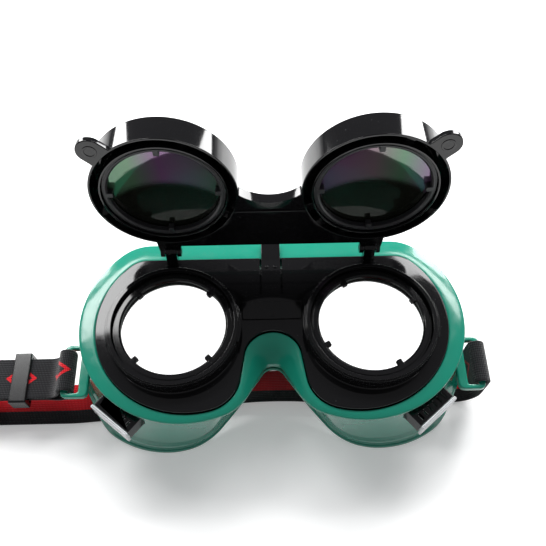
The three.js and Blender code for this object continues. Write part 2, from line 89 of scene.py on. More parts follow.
GAP = 0.3
VIEW_R = 22.8
SEAT_BORE = 24
FLANGE_T = 2.4
LIP_T = 1.2
LEDGE_Z = PLATE_LOW - GAP
LEDGE_T = 2.2
GROOVE = 2.2
WALL = 2.5
RIM_LIP = 1.5
NOSE_DIP = 8
BROW_FLARE = 7
CROWN = 1.0
PLATE_TOP = GASKET_LOW[2] - GAP
PLATE_T = 2.5
BOSS_TOP = 51.9
BOSS_R = 28.9
BOSS_BORE = RING_R + GAP
TONGUE_W = 8.8
TONGUE_ROOT = 18
TONGUE_TIP = 46.5
PIN_R = 1.2
KNUCKLE_R = 2.6
POST_W = 5
TAB_W = 10.6
FLIP_Z = 50.5
CUP_R = 30.4
CUP_DEPTH = 13
SEAT_R = 26.1
FILTER_SEAT = FLIP_Z + 8
FILTER_RING_R = SEAT_R - 0.8 - GAP
EAR_REACH = 34.5
EAR_R = 5.5
EAR_ANGLE = -45
EAR_T = 2.4
ARCH_R = 19.3
ARCH_Y = 5 - ARCH_R
STRAP_T = 1.4
STRAP_HALF = 10
LUG_X = 95
LUG_Z = 25.5
LUG_BAR = 3
# The strap's folds over the loops, its drop to the floor, its bend, and its layers' heights.
FOLD_R = 3.2
DROP_R = 11.3
BEND_X = -132
TAIL_END = -135
TAIL_Z = 14.7
RETURN_Z = 18.4
WASHER_T = 0.8
FILTER_T = 2.5
VENT_L = 20.5
VENT_H = 8
VENT_IN = 4.5
VENT_OUT = 6
SIDES = {"left": -1, "right": 1}

# The two-lobed outlines: place and radius of the lobe, top line, corner radii, nose arch, and the
# lean of its flank in degrees.
FLANGE = dict(lobe_x=39, lobe_y=6, lobe_r=47.8, top=47.5, brow_r=20, cheek_r=19,
              nose_top=-13, nose_r=5, flank=26.7)
OPENING = dict(lobe_x=37, lobe_y=4, lobe_r=42, top=38, brow_r=12, cheek_r=17,
               nose_top=-0.5, nose_r=12.5, flank=9)
FOOT = dict(lobe_x=50, lobe_y=3.5, lobe_r=44.5, top=46, brow_r=26, cheek_r=24,
            nose_top=-5.5, nose_r=8, flank=42)

# Place of each vent and the direction it faces, in degrees.
VENTS = {
    "lower_right": (66.3, -31.9, 31.5, -50),
    "upper_right": (52, 46.2, 18.6, 90),
    "lower_left": (-66.3, -31.9, 31.5, -130),
    "upper_left": (-52, 46.2, 18.6, 90),
}


class GogglesSettings(bpy.types.PropertyGroup):
    """Finishes and details that a user may change."""

    mask_colour: bpy.props.FloatVectorProperty(
        name="Mask", description="Colour of the soft mask", subtype="COLOR",
        default=(0.009, 0.215, 0.145), min=0, max=1)
    hard_colour: bpy.props.FloatVectorProperty(
        name="Plate and frame", description="Colour of the hard plastic", subtype="COLOR",
        default=(0.0045, 0.0045, 0.005), min=0, max=1)
    outer_yarn: bpy.props.FloatVectorProperty(
        name="Outer yarn", description="Colour of the strap's outside", subtype="COLOR",
        default=(0.016, 0.016, 0.018), min=0, max=1)
    inner_yarn: bpy.props.FloatVectorProperty(
        name="Inner yarn", description="Colour of the strap's inside and of its woven diamonds",
        subtype="COLOR", default=(0.60, 0.010, 0.018), min=0, max=1)
    weave_pitch: bpy.props.FloatProperty(
        name="Weave pitch", description="Distance between the strap's ribs", subtype="DISTANCE",
        unit="LENGTH", default=0.0007, min=0.0004, max=0.003)
    wall_bow: bpy.props.FloatProperty(
        name="Wall bow", description="How far the mask's wall curves inwards half way down",
        subtype="DISTANCE", unit="LENGTH", default=0.001, min=0, max=0.0015)
    louvres: bpy.props.IntProperty(
        name="Louvres", description="Slots in each vent", default=6, min=3, max=8)


# ---- Surfaces -------------------------------------------------------------------------------
# A surface is its points in millimetres, its quads, and the flat many-sided faces that close it.
def smoothstep(value, low, high):
    share = np.clip((value - low) / (high - low), 0, 1)
    return share * share * (3 - 2 * share)


def rounded(corners, reach, steps=5):
    """Rounds each corner of a closed chain along the first axis. The curve is a quadratic that
    starts and ends `reach` along the corner's two sides and is pulled towards the corner."""
    corners = np.asarray(corners, float)
    reach = np.reshape(np.broadcast_to(reach, len(corners)), (-1,) + (1,) * (corners.ndim - 1))

    def towards(neighbour):
        side = neighbour - corners
        length = np.maximum(np.linalg.norm(side, axis=-1, keepdims=True), 1e-9)
        return side * np.minimum(reach / length, 0.45)

    start = corners + towards(np.roll(corners, 1, axis=0))
    end = corners + towards(np.roll(corners, -1, axis=0))
    t = np.linspace(0, 1, steps).reshape((1, -1) + (1,) * (corners.ndim - 1))
    curve = (1 - t) ** 2 * start[:, None] + 2 * t * (1 - t) * corners[:, None] + t**2 * end[:, None]
    return curve.reshape((-1,) + corners.shape[1:])


def grid(points, capped):
    """Quads over rows and columns of points. Columns close on themselves. Rows do too, unless the
    first and the last row are capped with a flat face each."""
    rows, columns = points.shape[:2]
    row, column = np.meshgrid(np.arange(rows - 1 if capped else rows), np.arange(columns), indexing="ij")
    above, beside = (row + 1) % rows, (column + 1) % columns
    quads = np.stack([row * columns + column, row * columns + beside, above * columns + beside,
                      above * columns + column], axis=-1)
    caps = [np.arange(columns)[::-1], (rows - 1) * columns + np.arange(columns)] if capped else []
    return points.reshape(-1, 3), quads.reshape(-1, 4), caps


def stack(rings, reach, capped=True):
    """A surface through rings of equal point counts, with the edge at each ring rounded by its reach."""
    reach = np.array(np.broadcast_to(reach, len(rings)), float)
    if capped:
        reach[[0, -1]] = 0
    return grid(rounded(np.array(rings), reach), capped)


def lathe(profile, reach, x=0.0, columns=144):
    """A closed profile of (radius, height) corners, rounded and turned about a vertical axis at x."""
    radius, height = rounded(profile, reach).T
    angle = np.linspace(0, 2 * math.pi, columns, endpoint=False)
    points = np.stack([x + np.outer(radius, np.cos(angle)), np.outer(radius, np.sin(angle)),
                       np.outer(height, np.ones(columns))], axis=-1)
    return grid(points, capped=False)


def prism(outline, low, high, edge=0.4):
    """A flat-ended solid on a closed outline. The side climbs from the floor to the roof, and both
    of its edges are quarter circles that draw the outline in along its normals."""
    outline = np.asarray(outline, float)
    along = np.roll(outline, -1, axis=0) - np.roll(outline, 1, axis=0)
    normal = np.stack([along[:, 1], -along[:, 0]], axis=-1)
    normal /= np.maximum(np.linalg.norm(normal, axis=-1, keepdims=True), 1e-9)
    after = np.roll(outline, -1, axis=0)
    normal *= np.sign(np.sum(outline[:, 0] * after[:, 1] - after[:, 0] * outline[:, 1]))
    turn = np.linspace(0, math.pi / 2, 5)
    back = edge * np.concatenate([1 - np.sin(turn), 1 - np.cos(turn)])
    level = np.concatenate([low + edge * (1 - np.cos(turn)), high - edge * (1 - np.sin(turn))])
    flat = outline[None] - back[:, None, None] * normal[None]
    height = np.broadcast_to(level[:, None, None], flat.shape[:2] + (1,))
    return grid(np.concatenate([flat, height], axis=-1), capped=True)


def disc(radius, low, high, x=0.0, y=0.0, edge=0.3, columns=144):
    """A round prism about a vertical axis at (x, y)."""
    angle = np.linspace(0, 2 * math.pi, columns, endpoint=False)
    outline = np.stack([x + radius * np.cos(angle), y + radius * np.sin(angle)], axis=-1)
    return prism(outline, low, high, edge)


def sector(inner, outer, start, stop, low, high, x=0.0, y=0.0, edge=0.3, steps=32):
    """A flat-ended block bent round a vertical axis at (x, y), between two angles in degrees."""
    angle = np.radians(np.linspace(start, stop, steps))
    way = np.stack([np.cos(angle), np.sin(angle)], axis=-1)
    outline = np.concatenate([outer * way, inner * way[::-1]]) + [x, y]
    return prism(outline, low, high, edge)


def rectangle(x0, x1, y0, y1, corner=0.5):
    return rounded([[x0, y0], [x1, y0], [x1, y1], [x0, y1]], corner, 6)


def block(low, high, corner=0.4, edge=0.3):
    return prism(rectangle(low[0], high[0], low[1], high[1], corner), low[2], high[2], edge)


def moved(surface, matrix, offset=(0, 0, 0)):
    points, quads, caps = surface
    return points @ np.asarray(matrix, float).T + np.asarray(offset, float), quads, caps


def side_on(surface):
    """Stands up a surface that was drawn with Y and Z as its plan and X as its height."""
    return moved(surface, [[0, 0, 1], [1, 0, 0], [0, 1, 0]])


def about_z(degrees):
    c, s = math.cos(math.radians(degrees)), math.sin(math.radians(degrees))
    return np.array([[c, -s, 0], [s, c, 0], [0, 0, 1]])


def cross_bar(radius, low, high, edge=0.3, columns=48):
    """A rod along the hinge's axis."""
    return side_on(disc(radius, low, high, HINGE_Y, HINGE_Z, edge, columns))


def opened(surface):
    """Swings a surface drawn on the closed flip frame up about the hinge."""
    c, s = math.cos(OPEN_ANGLE), math.sin(OPEN_ANGLE)
    hinge = np.array([0, HINGE_Y, HINGE_Z])
    turn = np.array([[1, 0, 0], [0, c, s], [0, -s, c]])
    return moved(surface, turn, hinge - turn @ hinge)


# ---- The two-lobed outline ------------------------------------------------------------------
def arc(centre, radius, start, stop, steps):
    angle = np.linspace(start, stop, steps + 1)
    return np.stack([centre[0] + radius * np.cos(angle), centre[1] + radius * np.sin(angle)], axis=-1)


def inset(outline, distance):
    """The outline drawn inwards: its outer arcs lose the distance and its nose arch gains it."""
    change = dict(lobe_r=-1, top=-1, brow_r=-1, cheek_r=-1, nose_top=1, nose_r=1)
    return {key: value + change.get(key, 0) * distance for key, value in outline.items()}


def outline_of(o):
    """Tangent arcs down the right half, then their mirror image: level top line, brow corner, lobe
    about the lens, cheek corner, straight flank and nose arch."""
    flank = math.radians(o["flank"])
    normal = np.array([math.cos(flank), math.sin(flank)])
    lobe = np.array([o["lobe_x"], o["lobe_y"]])
    nose = np.array([0, o["nose_top"] - o["nose_r"]])
    drop = o["top"] - o["brow_r"] - o["lobe_y"]
    brow = lobe + [math.sqrt((o["lobe_r"] - o["brow_r"]) ** 2 - drop**2), drop]
    start = normal * (nose @ normal + o["nose_r"] + o["cheek_r"])
    along = np.array([normal[1], -normal[0]])
    reach = (start - lobe) @ along
    span = (o["lobe_r"] - o["cheek_r"]) ** 2
    cheek = start + along * (math.sqrt(reach**2 - (start - lobe) @ (start - lobe) + span) - reach)
    brow_angle = math.atan2(brow[1] - lobe[1], brow[0] - lobe[0])
    cheek_angle = math.atan2(cheek[1] - lobe[1], cheek[0] - lobe[0])
    cheek_run = cheek_angle if cheek_angle > flank - math.pi else cheek_angle + 2 * math.pi
    top_line = np.stack([np.linspace(0, brow[0], 13)[:-1], np.full(12, o["top"])], axis=-1)
    cheek_arc = arc(cheek, o["cheek_r"], cheek_run, flank - math.pi, 22)
    nose_arc = arc(nose, o["nose_r"], flank, math.pi / 2, 20)
    flank_line = cheek_arc[-1] + np.linspace(0, 1, 10)[1:-1, None] * (nose_arc[0] - cheek_arc[-1])
    lobe_arc = arc(lobe, o["lobe_r"], brow_angle, cheek_angle, 56)
    brow_arc = arc(brow, o["brow_r"], math.pi / 2, brow_angle, 16)
    right = np.concatenate([top_line, brow_arc, lobe_arc[1:], cheek_arc[1:], flank_line, nose_arc])
    return np.concatenate([right, right[1:-1][::-1] * [-1, 1]])


def level(outline, z):
    return np.column_stack([outline, np.full(len(outline), z)])


# ---- Pieces ---------------------------------------------------------------------------------
def mesh_of(name, surface):
    """A mesh in metres from one surface in millimetres, with poles merged and faces pointing out."""
    points, quads, caps = surface
    mesh = bpy.data.meshes.new(name)
    mesh.from_pydata((points * MM).tolist(), [], quads.tolist() + [cap.tolist() for cap in caps])
    work = bmesh.new()
    work.from_mesh(mesh)
    bmesh.ops.remove_doubles(work, verts=work.verts, dist=2e-7)
    bmesh.ops.recalc_face_normals(work, faces=work.faces)
    work.to_mesh(mesh)
    work.free()
    return mesh


def linked(name, mesh):
    piece = bpy.data.objects.new(name, mesh)
    bpy.context.scene.collection.objects.link(piece)
    return piece


def shaped(name, first, *changes):
    """A piece from a first surface and the solids joined to it or cut from it, in order."""
    piece = linked(name, mesh_of(name, first))
    for operation, surface in changes:
        tool = linked("tool", mesh_of("tool", surface))
        change = piece.modifiers.new("change", "BOOLEAN")
        change.operation, change.solver, change.object = operation, "MANIFOLD", tool
        bpy.context.view_layer.update()
        evaluated = piece.evaluated_get(bpy.context.evaluated_depsgraph_get())
        result = bpy.data.meshes.new_from_object(evaluated)
        piece.modifiers.clear()
        if len(result.polygons) == 0:
            raise RuntimeError(f"{name} is empty after a {operation.lower()}")
        piece.data = result
        bpy.data.meshes.remove(tool.data)
    piece.data.name = name
    return piece


def finished(piece, body, nodes, material, crease=36):
    """Shades a piece with crisp creases, gives it its finish and joins it to its body."""
    mesh = piece.data
    mesh.polygons.foreach_set("use_smooth", np.ones(len(mesh.polygons), bool))
    mesh.set_sharp_from_angle(angle=math.radians(crease))
    mesh.materials.clear()
    mesh.materials.append(material)
    flats = piece.modifiers.new("flat faces stay flat", "WEIGHTED_NORMAL")
    flats.keep_sharp = True
    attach(piece, body)
    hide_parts(*nodes)
    return piece


JOIN, CUT = "UNION", "DIFFERENCE"


# ---- Mask -----------------------------------------------------------------------------------
def rim_height(x, y):
    """Height of the face rim: flat on the cheeks, with bell-shaped arches over the nose and the
    brow, and a flat-topped one over each temple."""
    nose_side = smoothstep(20 - y, 0, 30)
    nose = 21 * np.exp(-((x / 25) ** 2)) * nose_side
    brow = 7 * np.exp(-((x / 45) ** 2)) * (1 - nose_side)
    temple = 13 * np.exp(-(((y - STRAP_Y) / 17) ** 4)) * smoothstep(np.abs(x), 66, 78)
    return np.maximum(0, nose + brow + temple - 0.6)


def nose_dip(x, y):
    return NOSE_DIP * np.exp(-((x / 10) ** 2)) * smoothstep(-y, -5, 5)


def saddle(share, z):
    """A ring part of the way from the opening to the flange's edge. The nose dip and the crown grow
    with the square of that share, so the flange rolls off to its edge and over the nose."""
    opening, edge = outline_of(OPENING), outline_of(FLANGE)
    flat = opening + share * (edge - opening)
    return np.column_stack([flat, z - (nose_dip(*edge.T) + CROWN) * share**2])


def wall_ring(down, distance, top, lift=0.0):
    """A ring of the wall, from 0 under the flange to 1 at the face rim. Each point lies on the line
    from the head outline to the foot outline, whose brow side is spread, at its own height."""
    heads = outline_of(inset(inset(FLANGE, 2), distance))
    feet = outline_of(inset(FOOT, distance))
    feet[:, 1] += BROW_FLARE * smoothstep(feet[:, 1], 12, 46)
    height = (top - nose_dip(*heads.T)) * (1 - down) + (rim_height(*feet.T) + lift) * down
    return np.column_stack([heads + ((top - height) / top)[:, None] * (feet - heads), height])


def mask_shell(bow):
    """The section of the mask carried round its two-lobed outline: flange, lip, groove, ledge,
    inner wall, rolled rim with a step above it, and outer wall. The wall bows inwards by a sine."""
    under_ledge, under_flange = LEDGE_Z - LEDGE_T, FLANGE_TOP - FLANGE_T
    lip = FLANGE_TOP - LIP_T
    opening = outline_of(OPENING)
    groove, ledge = outline_of(inset(OPENING, -GROOVE)), outline_of(inset(OPENING, GROOVE))
    inner = [(wall_ring(d, WALL + bow * math.sin(math.pi * d), under_ledge), 3)
             for d in (0.2, 0.4, 0.6, 0.8)]
    outer = [(wall_ring(d, bow * math.sin(math.pi * d) - 0.9 * (d > 0.8), under_flange), r)
             for d, r in ((0.84, 0.6), (0.79, 0.5), (0.6, 3), (0.4, 3), (0.2, 3))]
    rings = [
        (saddle(0.95, FLANGE_TOP), 0.9), (saddle(0.55, FLANGE_TOP), 4), (saddle(0.22, FLANGE_TOP), 3),
        (level(opening, FLANGE_TOP - 0.1), 0.7), (level(opening, lip), 0.3), (level(groove, lip), 0.2),
        (level(groove, LEDGE_Z), 0.2), (level(ledge, LEDGE_Z), 0.5), (level(ledge, under_ledge), 0.5),
        (wall_ring(0, WALL, under_ledge), 1), *inner,
        (wall_ring(1, WALL, under_ledge), 0.6), (wall_ring(1, -RIM_LIP, under_flange), 0.9),
        (wall_ring(1, -RIM_LIP, under_flange, 2), 0.8), (wall_ring(1, -0.4, under_flange, 3.0), 0.6),
        *outer,
        (wall_ring(0, 0, under_flange), 0.9), (saddle(1, under_flange + CROWN), 0.6),
        (saddle(1, FLANGE_TOP - 0.4), 0.5),
    ]
    return stack([ring for ring, _ in rings], [reach for _, reach in rings], capped=False)


def lug(side):
    """The loop on a temple: a rounded section between a large and a small rounded rectangle."""
    half, bar = STRAP_HALF + 0.8, LUG_BAR / 2
    outer = rectangle(84, LUG_X + bar, STRAP_Y - half - 2.2, STRAP_Y + half + 2.2, 3.2)
    inner = rectangle(88.5, LUG_X - bar, STRAP_Y - half, STRAP_Y + half, 1.2)
    low, high = LUG_Z - bar, LUG_Z + bar
    rings = [level(outer, low), level(outer, high), level(inner, high), level(inner, low)]
    return moved(stack(rings, 0.9, capped=False), np.diag([side, 1, 1]))


def vent_placed(surface, vent):
    x, y, z, turn = VENTS[vent]
    return moved(surface, about_z(turn), (x, y, z))


def vent_block(low_x, high_x, length, height, vent, corner=0.4, edge=0.3):
    """A block on a vent, where X points out of the wall."""
    low, high = [low_x, -length / 2, -height / 2], [high_x, length / 2, height / 2]
    return vent_placed(block(low, high, corner, edge), vent)


class GOGGLES_OT_mask(bpy.types.Operator):
    """Build the soft mask with its strap loops and vent sockets"""

    bl_idname = "goggles.mask"
    bl_label = "Soft mask"

    def execute(self, context):
        settings = context.scene.goggles
        length, height = VENT_L + 2 * GAP, VENT_H + 2 * GAP
        sockets = [(CUT, vent_block(-VENT_IN - 2.5, VENT_OUT + 1, length, height, vent, 0.6))
                   for vent in VENTS]
        loops = [(JOIN, lug(side)) for side in (-1, 1)]
        mask = shaped("soft_mask", mask_shell(settings.wall_bow / MM), *loops, *sockets)
        finished(mask, "mask", ["mask_body"], soft_plastic(settings.mask_colour))
        return {"FINISHED"}


# ---- Front plate ----------------------------------------------------------------------------
def hinge_post(x):
    """A leaning post with a round head, drawn in Y and Z."""
    head = KNUCKLE_R - 0.2
    base = [[HINGE_Y - 4.4, PLATE_TOP - 1], [HINGE_Y + 0.6, PLATE_TOP - 1]]
    outline = np.concatenate([base, arc((HINGE_Y, HINGE_Z), head, 0, math.pi, 16)])
    return side_on(prism(outline, x - POST_W / 2, x + POST_W / 2, 0.35))


def spring_tongue():
    """A tongue that rises over the flange towards its turned-up tip, drawn in Y and Z."""
    rise = HINGE_Y - 1.2
    outline = rounded([[rise, PLATE_TOP - 1.4], [TONGUE_TIP, PLATE_TOP - 0.4], [TONGUE_TIP, PLATE_TOP + 1.2],
                       [rise + 4, PLATE_TOP + 0.5], [rise, PLATE_TOP]], 0.5, 4)
    return side_on(prism(outline, -TONGUE_W / 2, TONGUE_W / 2, 0.3))


def boss(x):
    """A stepped collar with a thread inside: its bore is a row of shallow triangular grooves."""
    foot = PLATE_TOP - 1
    pitch, depth = 1.3, 0.35
    crests = np.arange(BOSS_TOP - 0.9, foot + 2.2, -pitch)
    thread = np.array([[[BOSS_BORE, z], [BOSS_BORE + depth, z - pitch / 2]] for z in crests]).reshape(-1, 2)
    outside = [[BOSS_BORE, foot], [BOSS_R + 0.5, foot], [BOSS_R + 0.5, PLATE_TOP], [BOSS_R, PLATE_TOP + 0.6],
               [BOSS_R, BOSS_TOP - 0.9], [BOSS_R - 0.6, BOSS_TOP - 0.9], [BOSS_R - 0.6, BOSS_TOP],
               [BOSS_BORE, BOSS_TOP]]
    reach = [0, 0, 0, 0.3, 0.12, 0.1, 0.12, 0.15] + [0.08] * len(thread)
    return lathe(np.concatenate([outside, thread]), reach, x)


def cone(x):
    """The cutter that opens the underside of a lens seat outwards."""
    low, high, middle = PLATE_LOW - 1, PLATE_TOP - 0.6, 0.01
    return lathe([[middle, low], [SEAT_BORE + 2.4, low], [SEAT_BORE + 0.2, high], [middle, high]], 0, x)


class GOGGLES_OT_plate(bpy.types.Operator):
    """Build the hard front plate with its threaded collars, hinge posts and spring tongue"""

    bl_idname = "goggles.plate"
    bl_label = "Front plate"

    def execute(self, context):
        hollow, lip = outline_of(inset(OPENING, 4)), outline_of(inset(OPENING, GAP - GROOVE))
        face = outline_of(inset(OPENING, GAP))
        lip_top, floor = FLANGE_TOP - LIP_T - GAP, PLATE_TOP - PLATE_T
        sheet = stack([
            level(hollow, floor), level(hollow, PLATE_LOW), level(lip, PLATE_LOW), level(lip, lip_top),
            level(face, lip_top), level(face, PLATE_TOP), level(outline_of(inset(OPENING, 3)), PLATE_TOP),
        ], [0, 0.3, 0.3, 0.3, 0.2, 0.6, 0])
        slit = TONGUE_W / 2 + 0.4
        far = TONGUE_TIP + 4
        changes = [(CUT, block([side * slit - 0.4, start, low], [side * slit + 0.4, far, PLATE_TOP + 1],
                               0.35, 0.1)) for side in (-1, 1)
                   for start, low in ((TONGUE_ROOT, floor + 0.7), (32.5, PLATE_LOW - 1))]
        for side in (-1, 1):
            x = side * LENS_X
            changes += [(CUT, disc(SEAT_BORE, PLATE_LOW - 1, BOSS_TOP, x)), (CUT, cone(x)),
                        (JOIN, boss(x)), (JOIN, hinge_post(side * HINGE_X))]
            changes += [(JOIN, sector(BOSS_BORE + 0.4, BOSS_R + 0.7, middle - 17, middle + 17, BOSS_TOP - 4,
                                      BOSS_TOP - 1.6, x, 0, 0.15)) for middle in (0, 180)]
        changes += [
            (JOIN, block([-13.4, 5.1, PLATE_TOP - 1], [13.4, 14, PLATE_TOP + 0.8], 0.8, 0.4)),
            (JOIN, spring_tongue()),
            (JOIN, disc(0.75, PLATE_TOP - 1, PLATE_TOP + 0.45, -2.0, 32.6, 0.3, 24)),
            (JOIN, disc(0.75, PLATE_TOP - 1, PLATE_TOP + 0.45, 2.0, 32.6, 0.3, 24)),
            (JOIN, disc(0.6, PLATE_TOP - 1, PLATE_TOP + 1.1, 0, 6.6, 0.2, 24)),
            (CUT, cross_bar(PIN_R + GAP, -60, 60)),
        ]
        plate = shaped("face_plate", sheet, *changes)
        gloss = hard_plastic("Gloss plate", context, 0.03, 0.35)
        finished(plate, "mask", ["front_plate"], gloss)
        return {"FINISHED"}


# ---- Clear and dark lenses ------------------------------------------------------------------
def screw_ring(inner, outer, low, high, x, first_nub):
    """A stepped ring and the four nubs that a finger turns it by."""
    profile = [[inner, low + 0.2], [inner + 0.3, low], [outer, low], [outer, high - 0.4],
               [outer - 0.9, high - 0.4], [outer - 0.9, high], [inner + 0.7, high], [inner, high - 0.5]]
    nub = block([inner - 2, -1.2, low], [inner + 1.2, 1.2, high], 0.45, 0.25)
    nubs = [(JOIN, moved(nub, about_z(first_nub + turn), (x, 0, 0))) for turn in (0, 90, 180, 270)]
    return lathe(profile, 0.1, x), nubs


def washer(bore, low, x):
    high = low + WASHER_T
    return lathe([[bore, low], [LENS_R, low], [LENS_R, high], [bore, high]], 0.2, x)


class GOGGLES_OT_lenses(bpy.types.Operator):
    """Build the clear lenses, their washers and their screw rings"""

    bl_idname = "goggles.lenses"
    bl_label = "Clear lenses"

    def execute(self, context):
        glass, rubber = clear_glass(), soft_rubber()
        plastic = hard_plastic("Gloss ring", context, 0.06, 0.35)
        for name, side in SIDES.items():
            x = side * LENS_X
            pane = disc(LENS_R, LENS_LOW[2], LENS_HIGH[2], x, 0, 0.35)
            lens = linked(f"clear_glass_{name}", mesh_of("glass", pane))
            finished(lens, "mask", [f"clear_lens_{name}"], glass)
            rubber_ring = washer(SEAT_BORE + 0.2, GASKET_LOW[2], x)
            seal = linked(f"clear_washer_{name}", mesh_of("washer", rubber_ring))
            finished(seal, "mask", [f"lens_gasket_{name}"], rubber)
            ring, nubs = screw_ring(VIEW_R, RING_R, RING_LOW[2], RING_HIGH[2], x, 45 if side < 0 else 28)
            body = f"lens_ring_{name}"
            finished(shaped(f"clear_ring_{name}", ring, *nubs), body, [body], plastic)
        return {"FINISHED"}


class GOGGLES_OT_filters(bpy.types.Operator):
    """Build the dark lenses, their washers and their screw rings"""

    bl_idname = "goggles.filters"
    bl_label = "Dark lenses"

    def execute(self, context):
        rubber = soft_rubber()
        # The dark rings are rougher, and their plastic is 4.5 times paler: the paler colour is a painted
        # reflection of the white floor.
        plastic = hard_plastic("Satin ring with painted reflection", context, 0.34, 0.35, 4.5)
        washer_low = FILTER_SEAT - GAP - WASHER_T
        lens_high = washer_low - GAP
        lens_low = lens_high - FILTER_T
        for name, side in SIDES.items():
            x = side * LENS_X
            pane = opened(disc(LENS_R, lens_low, lens_high, x, 0, 0.35))
            lens = linked(f"dark_glass_{name}", mesh_of("glass", pane))
            finished(lens, "flip", [f"filter_lens_{name}"], dark_glass(name, x * MM))
            rubber_ring = opened(washer(VIEW_R + 0.4, washer_low, x))
            seal = linked(f"dark_washer_{name}", mesh_of("washer", rubber_ring))
            finished(seal, "flip", [f"filter_gasket_{name}"], rubber)
            ring, nubs = screw_ring(VIEW_R, FILTER_RING_R, -(lens_low - GAP), -(FLIP_Z + 0.8), x, 0)
            over = np.diag([1, 1, -1])
            ring, nubs = (opened(moved(ring, over)), [(JOIN, opened(moved(nub, over))) for _, nub in nubs])
            body = f"filter_ring_{name}"
            finished(shaped(f"dark_ring_{name}", ring, *nubs), body, [body], plastic)
        return {"FINISHED"}


# ---- Flip frame -----------------------------------------------------------------------------
# Middles of the short ribs that cross the groove of each cup, in degrees.
GROOVE_RIBS = (30, 62, 112, 136, 158, 292)


def cup(x):
    """The section of a cup turned about its lens axis: a thin outer wall round a groove, the tube
    that holds the dark lens, and a cone in front of it."""
    front, bore = FLIP_Z + CUP_DEPTH, SEAT_R - 0.8
    web = front - 2.2
    profile = [[CUP_R - 1, FLIP_Z], [CUP_R, FLIP_Z], [CUP_R, front - 1], [CUP_R - 1, front],
               [VIEW_R + 3, front], [VIEW_R, FILTER_SEAT + 1.6], [VIEW_R, FILTER_SEAT],
               [bore, FILTER_SEAT], [bore, FLIP_Z], [SEAT_R, FLIP_Z], [SEAT_R, web], [CUP_R - 1, web]]
    return lathe(profile, [0.25, 0.3, 0.4, 0.4, 0.4, 0.3, 0.2, 0.2, 0.15, 0.15, 0.5, 0.5], x)


def hinge_tab(x):
    """A tapering tab that ends in the two knuckles about the post."""
    root, tip = TAB_W / 2 + 0.3, TAB_W / 2 - 0.6
    outline = rounded([[x - root, 28], [x + root, 28], [x + tip, HINGE_Y], [x - tip, HINGE_Y]], 0.3, 4)
    return prism(outline, FLIP_Z - 0.1, FLIP_Z + 2.8, 0.3), cross_bar(KNUCKLE_R, x - tip, x + tip)


def ear(side):
    """A round-ended ear off a cup, and the raised ring on it."""
    turn = EAR_ANGLE if side > 0 else 180 - EAR_ANGLE
    end = arc((EAR_REACH, 0), EAR_R, -math.pi / 2, math.pi / 2, 20)
    outline = np.concatenate([end, [[CUP_R - 3, EAR_R], [CUP_R - 3, -EAR_R]]])
    mark = lathe([[2.0, FLIP_Z - 0.22], [2.8, FLIP_Z - 0.22], [2.8, FLIP_Z + 1], [2.0, FLIP_Z + 1]], 0.12,
                 EAR_REACH, 48)
    place = (side * LENS_X, 0, 0)
    plate = prism(outline, FLIP_Z, FLIP_Z + EAR_T, 0.4)
    return [moved(shape, about_z(turn), place) for shape in (plate, mark)]


class GOGGLES_OT_flip(bpy.types.Operator):
    """Build the flip frame with its two cups, bridge, ears and hinge knuckles"""

    bl_idname = "goggles.flip"
    bl_label = "Flip frame"

    def execute(self, context):
        low = FLIP_Z
        slab = block([-LENS_X, -4, low], [LENS_X, 32.4, low + 2.4], 0.5, 0.3)
        clear = [(CUT, disc(CUP_R - 0.5, low - 3, low + 10, side * LENS_X)) for side in (-1, 1)]
        changes = [
            (JOIN, block([-LENS_X, 9.4, low - 0.8], [LENS_X, 22.7, low + 1], 0.5, 0.3)),
            (CUT, disc(ARCH_R, low - 2, low + 9, 0, ARCH_Y, 0.1)),
            (JOIN, sector(ARCH_R, ARCH_R + 1.4, 25, 155, low, low + 5, 0, ARCH_Y, 0.35, 64)),
        ]
        for side in (-1, 1):
            tab, knuckles = hinge_tab(side * HINGE_X)
            changes += [(JOIN, tab), (JOIN, knuckles)] + [(JOIN, shape) for shape in ear(side)]
        changes += clear + [(JOIN, cup(side * LENS_X)) for side in (-1, 1)]
        for side in (-1, 1):
            changes += [(JOIN, sector(SEAT_R - 0.3, CUP_R - 0.6, middle - 4, middle + 4, low + 2.2, low + 4.6,
                                      side * LENS_X, 0, 0.2, 8)) for middle in GROOVE_RIBS]
        for side in (-1, 1):
            x, half = side * HINGE_X, POST_W / 2 + GAP
            near, far = HINGE_Y - KNUCKLE_R - 0.9, HINGE_Y + 5
            changes.append((CUT, block([x - half, near, low - 4], [x + half, far, low + 6], 0.3, 0.1)))
        changes.append((CUT, cross_bar(PIN_R + GAP, -60, 60)))
        changes = [(operation, opened(surface)) for operation, surface in changes]
        flip = shaped("flip_shell", opened(slab), *changes)
        gloss = hard_plastic("Gloss flip frame", context, 0.045, 0.5)
        finished(flip, "flip", ["flip_frame"], gloss)
        return {"FINISHED"}


class GOGGLES_OT_pins(bpy.types.Operator):
    """Build the steel hinge pins"""

    bl_idname = "goggles.pins"
    bl_label = "Hinge pins"

    def execute(self, context):
        steel = bright_steel()
        for name, side in SIDES.items():
            x, reach = side * HINGE_X, TAB_W / 2 - 0.9
            pin = linked(f"steel_pin_{name}", mesh_of("pin", cross_bar(PIN_R, x - reach, x + reach, 0.25)))
            finished(pin, "flip", [f"hinge_pin_{name}"], steel)
        return {"FINISHED"}


